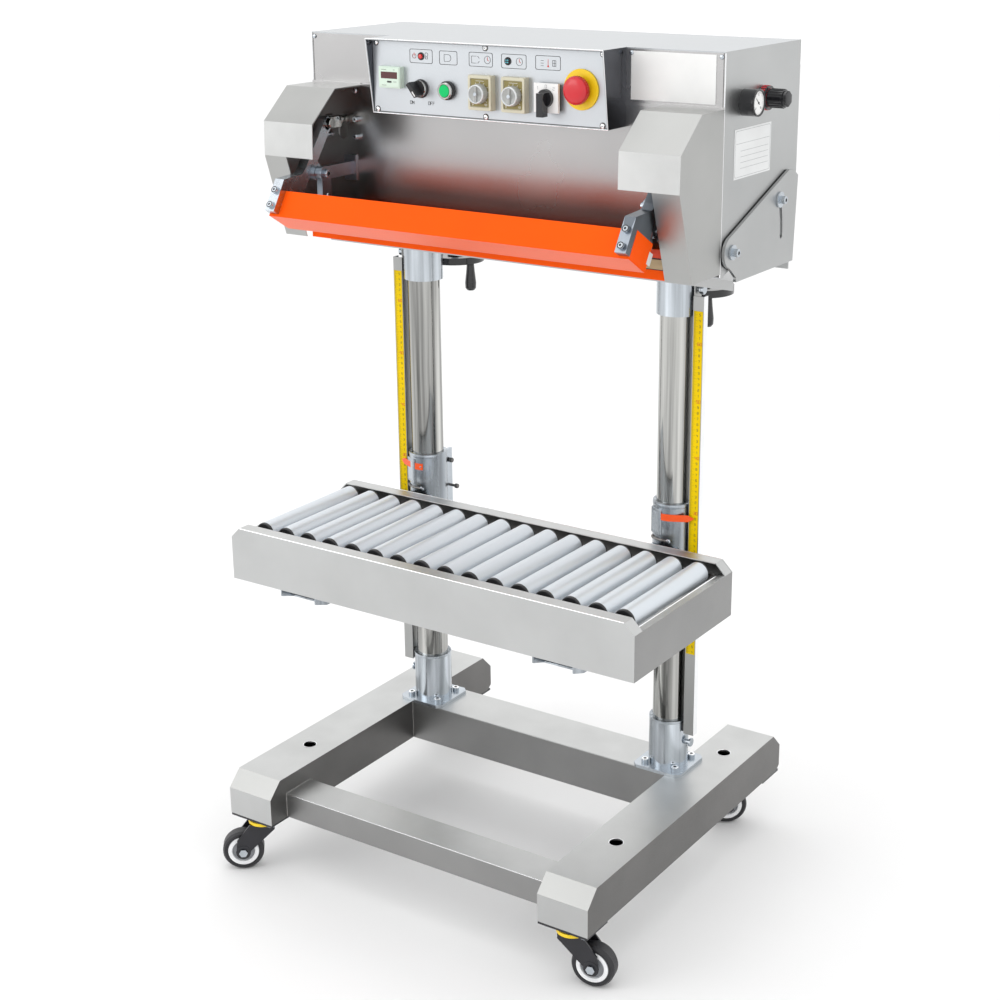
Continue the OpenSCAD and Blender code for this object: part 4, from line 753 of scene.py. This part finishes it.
# Meter with a dark window
METER_X, METER_Y, METER_Z = -187.5, -101.0, 1412.0
box("meter_face", (METER_X - 20.5, METER_Y, METER_Z - 16), (METER_X + 20.5, METER_Y + 1, METER_Z + 16),
    "meter_green", HEAD, 0.6)
box("meter_window", (METER_X - 17, METER_Y - 0.3, METER_Z - 2), (METER_X + 17, METER_Y + 0.1, METER_Z + 9),
    "window_red", HEAD, 0.2)
box("meter_button", (METER_X - 4, METER_Y - 0.6, METER_Z - 8.5),
    (METER_X + 5, METER_Y + 0.1, METER_Z - 5.8), "dark", HEAD, 0.3)
dashes = [[(METER_X + x0, METER_Z + z), (METER_X + x1, METER_Z + z)]
          for x0, x1, z in ((-16, -6, 12.5), (9, 12, 12.5), (9, 15, -7), (-15, -6, -13))]
ribbon("meter_marks", dashes, 0.6, "front", METER_Y, "ink", HEAD, 0.15)

# Selector
SELECTOR_X = -130.5
lathe("selector_bezel", [(12.3, 0), (14.0, 0), (14.0, 3.4), (13.3, 4.4), (12.6, 4.4), (12.3, 4.0)],
      (SELECTOR_X, -93, ROW_Z), FRONT, "chrome", HEAD, 56, closed=True)
lathe("selector_seat", [(14.0, 0), (15.4, 0), (15.4, 2.6), (14.6, 3.6), (14.0, 3.6)],
      (SELECTOR_X, PANEL, ROW_Z), FRONT, "dark", HEAD, 56, closed=True)
lean = Matrix.Rotation(math.radians(-39), 4, "Y")
at_selector = Matrix.Translation(Vector((SELECTOR_X, -93.3, ROW_Z)) * MM) @ lean
box("selector_line", (-0.9, -24.0, -12.6), (0.9, -22.7, -3), "white", "selector", 0.2, at_selector)
on_off = word("ON", SELECTOR_X - 23, ROW_Z - 26, 5) + word("OFF", SELECTOR_X + 14.5, ROW_Z - 25.5, 5)
ribbon("selector_words", on_off, 0.7, "front", FACE, "ink", HEAD)

# Start button
START_X = -75.2
lathe("start_seat", [(14.0, 0), (15.4, 0), (15.4, 6.6), (14.6, 7.6), (14.0, 7.6)], (START_X, PANEL, ROW_Z),
      FRONT, "dark", HEAD, 56, closed=True)
lathe("start_bezel", [(10.3, 0), (13.8, 0), (13.8, 3.8), (12.9, 4.8), (11.0, 4.8), (10.3, 4.2)],
      (START_X, -96, ROW_Z), FRONT, "chrome", HEAD, 56, closed=True)
lathe("start_cap", disc_profile(9.9, 1.5, 0.6), (START_X, -99.7, ROW_Z), FRONT, "green", "start", 48)

# Timers: dial, frame, scale and the round knob with its grip
DIAL_Y, GRIP_Y = -100.5, -114.6
for i, (x, side, body) in enumerate(((-3.5, "left", "timer_l"), (61.5, "right", "timer_r"))):
    n = "timer_%d" % i
    box(n + "_dial", (x - 17.5, DIAL_Y, ROW_Z - 21), (x + 17.5, DIAL_Y + 0.6, ROW_Z + 23), "olive", HEAD,
        0.2)
    ring_plate(n + "_bezel", round_rect(x - 22.4, x + 22.4, ROW_Z - 26.8, ROW_Z + 28.8, 3.5)[:-1],
               round_rect(x - 18.2, x + 18.2, ROW_Z - 22, ROW_Z + 24, 2)[:-1], DIAL_Y + 0.5, 2.2, "cream",
               HEAD, 0.5)
    ticks = []
    for k in range(11):
        tick = [polar(x, ROW_Z, r, 225 - 27 * k) for r in (16.4, 18.6)]
        ticks.append([(max(x - 16.8, min(x + 16.8, p[0])), p[1]) for p in tick])
    ribbon(n + "_scale", ticks, 0.6, "front", DIAL_Y, "white", HEAD, 0.15)
    digits = word("0", x - 15, ROW_Z - 19, 3) + word("10", x + 9, ROW_Z - 19, 3)
    ribbon(n + "_marks", digits + [[(x - 8, ROW_Z + 20), (x + 8, ROW_Z + 20)]], 0.5, "front", DIAL_Y,
           "white", HEAD, 0.15)
    lathe(n + "_skirt", [(0, 0), (16.2, 0), (16.6, 1.2), (15.9, 8.5), (14.6, 11.5), (12.4, 12.6),
                         (10.5, 11.6), (0, 10.6)], (x, DIAL_Y - 0.1, ROW_Z), FRONT, "clear_grey", body, 56)
    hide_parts("timer_knob_" + side)
    box(n + "_grip", (x - 2.4, GRIP_Y, ROW_Z - 12.5), (x + 2.4, -108, ROW_Z + 12.5), "clear_grey", body,
        1.2)
    lathe(n + "_rim", [(12.6, 0), (15.2, 0), (15.2, 1.4), (14.4, 2.4), (13.2, 2.4), (12.6, 1.4)],
          (x, GRIP_Y + 2.8, ROW_Z), FRONT, "glassy", body, 56, closed=True)
    lathe(n + "_cap", disc_profile(3.2, 1.0, 0.4), (x, GRIP_Y, ROW_Z), FRONT, "zinc", body, 24)

# Cam switch
CAM_X, CAM_Y = 124, -101.0
box("cam_plate", (CAM_X - 23, CAM_Y, ROW_Z - 23), (CAM_X + 23, CAM_Y + 1.4, ROW_Z + 23), "white", HEAD,
    1.0)
digits = []
for sign, dx, dz in (("1", -17, 13), ("0", -1.6, 16), ("2", 13, 13)):
    digits += word(sign, CAM_X + dx, ROW_Z + dz, 4.5)
ribbon("cam_digits", digits, 0.5, "front", CAM_Y, "hub_grey", HEAD, 0.15)
lathe("cam_collar", [(0, 0), (14.6, 0), (14.6, 1.2), (13.6, 6.2), (0, 6.2)], (CAM_X, CAM_Y - 0.3, ROW_Z),
      FRONT, "black_gloss", "cam", 48)

# Emergency stop, disc left bare
STOP_X, STOP_Y, STOP_Z = 183, -96.2, 1411
lathe("stop_disc", [(12, 0), (31.5, 0), (32, 0.5), (32, 3.0), (31.5, 3.5), (12, 3.5)],
      (STOP_X, PANEL, STOP_Z), FRONT, "yellow", HEAD, 72, closed=True)
lathe("stop_collar", [(9.5, 0), (15.5, 0), (15.5, 3), (14, 4.2), (9.5, 4.2)],
      (STOP_X, PANEL - 3.5, STOP_Z), FRONT, "dark", HEAD, 48, closed=True)
lathe("stop_head", [(0, -20), (8.8, -20), (8.8, 5), (16.2, 5), (16.2, 0.3), (17.5, 0), (19.5, 1.2),
                    (21.8, 4.0), (22, 11), (21.2, 13.6), (18, 16.2), (11, 17.4), (0, 17.8)],
      (STOP_X, STOP_Y, STOP_Z), FRONT, "red", "stop", 72)
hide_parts("stop_button")
rib_ring("stop_ribs", 36, (21.5, -0.8, 4.5), (22.4, 0.8, 12), (STOP_X, STOP_Y, STOP_Z), FRONT, "red",
         "stop", 0.25)

# Head: screws, pins and edge lines on both sides; the bright lines are a painted highlight

ROD_X, ROD_Y, ROD_Z = 344.2, -87, 1326
for n, s in SIDES:
    for j, (x, z) in enumerate(((311, 1328.5), (312, 1298.5), (377, 1298), (377, 1328.5))):
        socket_screw("cyl_screw_%s%d" % (n, j), (s * x, -41, z), FRONT, 4.6, 3.2, "zinc", HEAD)
    for j, x in enumerate((400, 242)):
        lathe("cover_rivet_%s%d" % (n, j), [(0, 0), (3.6, 0), (3.0, 1.2), (1.4, 1.9), (0, 2.0)],
              (s * x, -36.2, 1466), FRONT, "zinc", HEAD, 24)
    lathe("front_screw_" + n, [(0, 0), (4.4, 0), (4.4, 1.2), (3.2, 2.4), (0, 2.9)], (s * 315, -35, 1377),
          FRONT, "zinc", HEAD, 24)
    # edge_line_ is a bright bead along the head's front corners, a painted highlight; edge_seam_ is the
    # dark seam beside it
    for line, x, y, r, mat in (("edge_line_", 406.2, -35.2, 1.1, "bright_edge"),
                               ("edge_seam_", 403.4, -35.0, 0.4, "ink")):
        tube_path(line + n, [(s * x, y, FRONT_LOW), (s * x, y, FRONT_HIGH)], r, mat, HEAD)
    for j, (y, z) in enumerate((PIVOT, SLOT_BOLT)):
        socket_screw("tilt_head_%s%d" % (n, j), (s * 424.9, y, z), (s, 0, 0), 6.4, 1.2, "zinc", HEAD)
    socket_screw("fulcrum_head_in_" + n, (s * 314, FULCRUM.y, FULCRUM.z), (-s, 0, 0), 6.8, 2.4, "zinc",
                 HEAD)
    socket_screw("fulcrum_head_out_" + n, (s * 362, FULCRUM.y, FULCRUM.z), (s, 0, 0), 6.8, 2.4, "zinc",
                 HEAD)
    lathe("rod_pin_" + n, disc_profile(8.2, 3.4, 1.0), (s * (ROD_X - 16.7), ROD_Y, ROD_Z), (-s, 0, 0),
          "chrome", "rods", 40)
    lathe("rod_pin_out_" + n, disc_profile(7.4, 2.6, 0.8), (s * (ROD_X + 16.8), ROD_Y, ROD_Z), (s, 0, 0),
          "chrome", "rods", 40)
    lathe("rod_end_" + n, [(0, 0), (9.2, 0), (9.2, 11), (8.2, 12.4), (0, 12.4)], (s * ROD_X, -57.4, ROD_Z),
          (0, 1, 0), "chrome", "rods", 40)

# Head: bare plates, and the hood's rim as a bright bead of painted highlight

box("maker_place", (241, -36.0, 1394), (391, -35, 1469), "white", HEAD, 0.4)
RIM_LOW_Y, RIM_HIGH_Y = -89, -106
rim = [(-HOOD_X, RIM_LOW_Y, HOOD_LOW), (HOOD_X, RIM_LOW_Y, HOOD_LOW), (HOOD_X, RIM_HIGH_Y, HOOD_HIGH),
       (-HOOD_X, RIM_HIGH_Y, HOOD_HIGH), (-HOOD_X, RIM_LOW_Y, HOOD_LOW)]
# The rim beads are a painted highlight along the hood's edges
for i, ends in enumerate(zip(rim, rim[1:])):
    tube_path("hood_rim_%d" % i, ends, 0.6, "bright_edge", HEAD)
box("hood_low_line", (3 - HOOD_X, RIM_LOW_Y, HOOD_LOW + 0.8),
    (HOOD_X - 3, RIM_LOW_Y + 0.5, HOOD_LOW + 2.8), "ink", HEAD, 0)
box("hood_shadow_line", (3 - HOOD_X, -104.6, HOOD_HIGH - 2.6), (HOOD_X - 3, -103.6, HOOD_HIGH - 1.8), "ink",
    HEAD, 0)
for s, x in ((-1, -322), (1, 334)):
    for j, (y, z) in enumerate(((-119, 1198), (-110, 1206), (-104, 1190))):
        socket_screw("hanger_screw_%d_%d" % (s, j), (x, y, z), RIGHT, 2.8, 1.4, "bright_edge", HEAD)
box("rating_place", (HEAD_SIDE, 0, 1275), (HEAD_SIDE + 0.5, 127, 1353), "label", HEAD, 0.15)
rows = [[(6, 1330), (121, 1330)]] + [[(22, z), (118, z)] for z in (1318, 1309, 1300, 1291)]
ribbon("rating_lines", rows + [round_rect(3, 124, 1278, 1350, 4)], 0.5, "right", HEAD_SIDE + 0.5,
       "label_line", HEAD, 0.12)

# Painted highlight along the edge of the tilt slot, a curve about the head's pivot
SLOT_R = 175
for s in (-1, 1):
    curve = [polar(*PIVOT, SLOT_R, degrees) for degrees in range(0, 20, 2)]
    tube_path("slot_light_%d" % s, [(s * 408.0, y, z) for y, z in curve], 0.9, "bright_edge", "stand")

# Gauge and regulator
GAUGE_X, GAUGE_Y, GAUGE_Z = 431, 30, 1393
lathe("gauge_bezel", [(18.2, 0), (20.8, 0), (21.4, 0.8), (21.0, 2.4), (19.4, 2.8), (18.2, 1.6)],
      (GAUGE_X, GAUGE_Y, GAUGE_Z), RIGHT, "black_gloss", HEAD, 64, closed=True)
lathe("gauge_dial", disc_profile(18.6, 0.6, 0.2), (GAUGE_X - 0.1, GAUGE_Y, GAUGE_Z), RIGHT, "white", HEAD,
      64)
ticks = []
for k in range(25):
    inner = 13.6 if k % 4 == 0 else 15
    ticks.append([polar(GAUGE_Y, GAUGE_Z, r, 225 - 270 * k / 24) for r in (inner, 16.6)])
for sign, dy, dz in (("0", -10, -9), ("10", 5, -9), ("5", -1, 11)):
    ticks += word(sign, GAUGE_Y + dy, GAUGE_Z + dz, 2.6)
ribbon("gauge_ticks", ticks, 0.45, "right", GAUGE_X + 0.5, "ink", HEAD, 0.12)
needle = [[(GAUGE_Y, GAUGE_Z), (GAUGE_Y + dy, GAUGE_Z + dz)] for dy, dz in ((-8, 7), (3, -2.5))]
ribbon("gauge_needle", needle, 0.9, "right", GAUGE_X + 0.62, "ink", HEAD, 0.3)
lathe("gauge_hub", disc_profile(1.8, 0.9, 0.3), (GAUGE_X + 0.6, GAUGE_Y, GAUGE_Z), RIGHT, "dark", HEAD, 20)

REG_Y, REG_Z = 93, 1394
ring_at = (HEAD_SIDE + 0.4, REG_Y, REG_Z)
lathe("regulator_ring", [(13, 0), (18, 0), (18.6, 1.0), (18.6, 10.6), (18, 11.6), (15, 12.6), (13, 12.6)],
      ring_at, RIGHT, "red", HEAD, 64, closed=True)
rib_ring("regulator_teeth", 24, (18.0, -1.3, 1.5), (19.6, 1.3, 10.2), ring_at, RIGHT, "red", HEAD, 0.3)
rib_ring("regulator_ribs", 18, (14.2, -1.1, 3), (15.3, 1.1, 25), (420.3, REG_Y, REG_Z), RIGHT,
         "black_gloss", "regulator", 0.3)
lathe("regulator_cap", [(0, 0), (12.5, 0), (11.8, 1.6), (9, 2.2), (0, 2.2)], (451.3, REG_Y, REG_Z), RIGHT,
      "dark", "regulator", 6)

# Jaws: the fixed jaw's strips, then the moving jaw's small parts, placed with it closed and swung open

STRIP_X = JAW_X - 0.5
JAW_OUT, JAW_IN, JAW_LOW, JAW_TOP = -181.5, -126.4, 1135, 1181.5
box("fixed_top_strip", (-STRIP_X, -118.35, 1165.5), (STRIP_X, -117.9, 1178.6), "red_strip", HEAD, 0.1)
box("fixed_gap_line", (-STRIP_X, -118.45, 1163.4), (STRIP_X, -117.9, 1165.3), "dark", HEAD, 0)
box("heater_clip", (-JAW_X + 0.2, -118.5, 1146.6), (JAW_X - 0.2, -117.9, 1147.8), "dark", HEAD, 0)
open_m = OPEN.copy()
open_m.translation = OPEN.translation * MM
outward = open_m.to_3x3() @ Vector(FRONT)
for n, s in SIDES:
    for j, z in enumerate((1149, 1176)):
        p = (open_m @ (Vector((s * ARM_X, -200.9, z)) * MM)) * 1000
        lathe("arm_screw_seat_%s%d" % (n, j), [(4.4, -0.4), (5.6, -0.4), (5.6, 0.4), (4.4, 0.4)], p,
              outward, "dark", "jaw", 36, closed=True)
        socket_screw("arm_screw_%s%d" % (n, j), p, outward, 4.4, 0.8, "zinc", "jaw")
    side_box("jaw_cap_" + n, s, (JAW_X, JAW_X + 0.6), (JAW_OUT, JAW_IN), (JAW_LOW + 0.5, JAW_TOP), "orange",
             "jaw", 0.3, open_m)
for s in (-1, 1):
    side_box("strip_end_%d" % s, s, (JAW_X - 0.1, JAW_X + 1.2), (-130.5, -118.9), (1148, 1168), "silicone",
             "jaw", 0.2, open_m)
# The jaw's lower face is paler orange, a painted highlight of the floor's reflection
box("jaw_bottom_face", (-STRIP_X, JAW_OUT + 0.1, JAW_LOW - 0.25), (STRIP_X, JAW_IN - 0.2, JAW_LOW + 0.05),
    "orange_painted_highlight", "jaw", 0, open_m)

# Columns, collars, sleeves

for n, s in SIDES:
    cx = s * COLUMN_X
    for j, (dx, dy) in enumerate(((-31, -31), (31, -31), (31, 31), (-31, 31))):
        socket_screw("foot_screw_%s%d" % (n, j), (cx + dx, COLUMN_Y + dy, FOOT_TOP), UP, 6.4, 1.6,
                     "bright_edge", "stand")
    for z in COLLAR_TOPS:
        lip = [(30.2, 0), (35.4, 0), (36.2, -0.8), (36.2, -4), (36, -4.5), (30.2, -4.5)]
        lathe("collar_lip_%s%d" % (n, z), lip, (cx, COLUMN_Y, z), UP, "zinc", "stand", 64, closed=True)
    lip = [(30.4, 0), (33.5, 0.4), (35.8, -0.6), (36.4, -2.2), (36.4, -6), (36, -7), (30.4, -7)]
    lathe("sleeve_lip_" + n, lip, (cx, COLUMN_Y, SLEEVE_TOP), UP, "sleeve", "tray", 64, closed=True)
    pad = Matrix.Translation(Vector((cx, COLUMN_Y, 0)) * MM) @ Matrix.Rotation(math.radians(-118), 4, "Z")
    box("weld_pad_" + n, (31, -14, 640), (37.2, 14, 688), "sleeve", "tray", 1.6, pad)
    box("weld_pad_inset_" + n, (37.0, -10, 646), (37.5, 10, 682), "zinc", "tray", 0.2, pad)
    bead = [(*polar(cx, COLUMN_Y, 36.6, a), 632 + 1.5 * math.sin(a)) for a in range(-140, -74, 3)]
    tube_path("sleeve_bead_" + n, bead, 2.0, "weld", "tray", jitter=0.35)
    lathe("bead_blob_" + n, [(0, 0), (3.6, 0.4), (4.6, 2.2), (3.2, 4.0), (0, 4.8)],
          (*polar(cx, COLUMN_Y, 35, -75), 631), (*polar(0, 0, 1, -75), 0), "zinc", "tray", 20)
    rivet = -90 - s * 13
    lathe("pointer_rivet_" + n, [(0, 0), (1.9, 0), (1.6, 0.7), (0, 1.0)],
          (*polar(cx, COLUMN_Y, 37.4, rivet), 675), (*polar(0, 0, 1, rivet), 0), "zinc", "tray", 16)
    side_box("clamp_plate_" + n, s, (CLAMP_X, CLAMP_X + 6), (104, 128), (572, 697), "zinc", "tray", 0.8)
    for j, (z, h) in enumerate(((674, 2.0), (624, 13.5))):
        pin = [(0, 0), (2.6, 0), (2.6, h - 0.6), (4.2, h - 0.4), (4.6, h), (4.6, h + 4.6), (3.8, h + 5.6),
               (0, h + 5.8)]
        lathe("clamp_pin_%s%d" % (n, j), pin, (s * CLAMP_X, 119, z), (-s, 0, 0), "steel_dark", "tray", 28)
    lathe("thumb_%s1075" % n, [(0, 0), (7.6, 0), (8.2, 0.8), (8.2, 3.2), (7.4, 4.2), (0, 4.4)],
          (s * 313, COLUMN_Y, 1075), (s, 0, 0), "zinc", "stand", 28)

# Measuring tapes: a tick each millimetre, a digit each centimetre, red tens, counted from TAPE_ZERO

RAIL_LOW = min(v.co.z for v in frame["nodes"]["scale_rails"].data.vertices) / MM
TAPE_X, TAPE_WIDTH, TAPE_FRONT = 314, 17, 70.6
TAPE_ZERO, TAPE_LOW, TAPE_MARKS = 385, 421, 620
for n, s in SIDES:
    side_box("rail_leg_" + n, s, (303.6, 305.8), (73.2, 96), (RAIL_LOW + 1, 1090), "rail", "stand", 0.3)
    ticks, figures, tens = [], [], []
    left = s * TAPE_X - TAPE_WIDTH / 2
    for z in range(TAPE_LOW, TAPE_LOW + TAPE_MARKS):
        mark = z - TAPE_ZERO
        length = 7.5 if mark % 10 == 0 else (5.5 if mark % 5 == 0 else 3.6)
        ticks.append([(left + 0.3, z), (left + length, z)])
        if mark % 100 == 0:
            tens += word(str(mark // 10), left + 8.4, z - 2.4, 4.8)
        elif mark % 10 == 0:
            figures += word(str(mark // 10 % 10), left + 10.6, z - 1.9, 3.8)
    ribbon("tape_ticks_" + n, ticks, 0.22, "front", TAPE_FRONT, "ink", "stand", 0.1)
    ribbon("tape_figures_" + n, figures, 0.5, "front", TAPE_FRONT, "ink", "stand", 0.1)
    ribbon("tape_tens_" + n, tens, 0.7, "front", TAPE_FRONT, "red_ink", "stand", 0.1)

# Tray: lips and edges of the frame, with bright and pale beads along them as painted highlights, corner
# facets, roller end caps

for n, s in SIDES:
    x, z = s * (TRAY_END + 6), TRAY_TOP - 18.4
    tube_path("tray_lip_" + n, [(x, -300, z), (x, 19, z)], 1.6, "bright_edge", "tray")
    for j, y in enumerate((-250, -30)):
        socket_screw("tray_bolt_%s%d" % (n, j), (s * 404, y, 600), (-s, 0, 0), 5, 4, "zinc", "tray")
    side_box("tray_angle_" + n, s, (TRAY_END, TRAY_END + 17), (-272, -6), (560, 563), "steel", "tray", 0.5)
# Pale beads along the inner rails' top edges, a painted highlight
for j, y in enumerate((-279.6, -1.6)):
    tube_path("rail_lip_%d" % j, [(-TRAY_END, y, TRAY_TOP), (TRAY_END, y, TRAY_TOP)], 0.9, "steel_pale",
              "tray")
# Bright beads along the outer rails' top edges, a painted highlight
for j, y in enumerate((-303.6, 22.6)):
    x, z = TRAY_END + 1, TRAY_TOP + 0.4
    tube_path("rail_edge_%d" % j, [(-x, y, z), (x, y, z)], 1.0, "bright_edge", "tray")
CORNER = ((1.3, 1), (20, -17.7), (18.2, -19.5), (-0.5, -0.8))
for s in (-1, 1):
    for j, y in enumerate((-301.5, -2)):
        slope = [(s * (TRAY_END + dx), TRAY_TOP + dz) for dx, dz in CORNER]
        plate("corner_facet_%d_%d" % (s, j), slope, y, y + 22.5, "steel", "tray", 0.6)
for i in range(ROLLERS):
    for j, (y, d) in enumerate(((-262, -1), (-17, 1))):
        cap = [(5.6, -0.4), (18.8, -2.2), (18.8, 1.4), (17.2, 2.4), (9, 1.4), (5.6, 1.8)]
        lathe("roller_cap_%02d_%d" % (i + 1, j), cap, ((i - MIDDLE) * PITCH, y, ROLLER_Z), (0, d, 0),
              "dark", "roll_%02d" % (i + 1), 40, closed=True)

# Base: painted highlight beads on the cross tubes' edges and the leg holes' rims, and welds

x = CROSS_END - 2
for j, (y, z) in enumerate(((-339.9, 153.9), (42.4, 185.9))):
    tube_path("cross_edge_%d" % j, [(-x, y, z), (x, y, z)], 1.0, "bright_edge", "stand")


def weld_line(x, front, rear, top, slope_front, slope_rear, crown):
    """Points round a cross tube where it meets a leg: up in front, over the top, down behind."""
    low = 110
    return [(x, front, low), (x, front, top), (x, slope_front, crown), (x, slope_rear, crown),
            (x, rear, top), (x, rear, low)]


for n, s in SIDES:
    for j, y in enumerate((-214.5, 175)):
        rim = [(11.75, -1.6), (12.6, 0.0), (13.0, 0.25), (12.2, 0.3), (11.75, 0.0)]
        lathe("leg_hole_rim_%s%d" % (n, j), rim, (s * CASTER_X, y, 187), UP, "bright_edge", "stand", 48,
              closed=True)
    x = s * (CROSS_END - 0.1)
    for j, pts in enumerate((weld_line(x, -340.7, -274.2, 154, -338, -277, 155),
                             weld_line(x, 41.5, 138.5, 185, 44, 136, 186.4))):
        dense = [p for a, b in zip(pts, pts[1:]) for p in between(a, b, max(1, int(math.dist(a, b) / 4)))]
        tube_path("base_weld_%s%d" % (n, j), dense, 1.2, "weld", "stand", jitter=0.3)

# Stage

FLOOR, FLOOR_DEPTH = 14000, 20
bm = bmesh.new()
box_bm(bm, (-FLOOR, -FLOOR, -FLOOR_DEPTH), (FLOOR, FLOOR, 0))
finish_obj("floor", bm, "floor", None, 0)


AIM = Vector((0, 0, 0.8))
WHITE_WORLD = 1.25


def area_light(name, loc, size, power):
    """Square light aimed at the middle of the machine; place and size in metres."""
    li = bpy.data.lights.new(name, "AREA")
    li.shape = "RECTANGLE"
    li.size = size
    li.size_y = size
    li.energy = power
    o = bpy.data.objects.new(name, li)
    o.location = loc
    o.rotation_euler = (AIM - Vector(loc)).to_track_quat("-Z", "Y").to_euler()
    scene.collection.objects.link(o)


area_light("key", (-2.2, -3.2, 2.6), 2.2, 30)
area_light("top", (-0.4, 0.6, 4.2), 3.2, 20)

world = bpy.data.worlds.new("studio")
scene.world = world
world.use_nodes = True
background = world.node_tree.nodes["Background"]
socket(background, "Color", (1.0, 1.0, 1.0, 1.0))
socket(background, "Strength", WHITE_WORLD)
scene.view_settings.view_transform = "Standard"

# Camera, fitted to the photo: angles, focal length and image centre in pixels, place in metres

AZ, EL, ROLL = math.radians(33.61), math.radians(18.53), math.radians(-0.38)
FOCAL_PX, CENTRE_X_PX, CENTRE_Y_PX, IMAGE_PX = 1794.4, 526.8, 483.1, 1000
SENSOR = 36
EYE = Vector((1.6901, -2.5188, 1.7200))
back = Vector((math.sin(AZ) * math.cos(EL), -math.cos(AZ) * math.cos(EL), math.sin(EL)))
level = Vector((math.cos(AZ), math.sin(AZ), 0))
upright = back.cross(level)
across = level * math.cos(ROLL) + upright * math.sin(ROLL)
upward = upright * math.cos(ROLL) - level * math.sin(ROLL)
cam_data = bpy.data.cameras.new("camera")
cam = bpy.data.objects.new("camera", cam_data)
scene.collection.objects.link(cam)
cam.matrix_world = Matrix(((across.x, upward.x, back.x, EYE.x), (across.y, upward.y, back.y, EYE.y),
                           (across.z, upward.z, back.z, EYE.z), (0, 0, 0, 1)))
cam_data.sensor_width = SENSOR
cam_data.lens = FOCAL_PX * SENSOR / IMAGE_PX
cam_data.shift_x = -(CENTRE_X_PX - IMAGE_PX / 2) / IMAGE_PX
cam_data.shift_y = (CENTRE_Y_PX - IMAGE_PX / 2) / IMAGE_PX
cam_data.clip_end = 50
scene.camera = cam
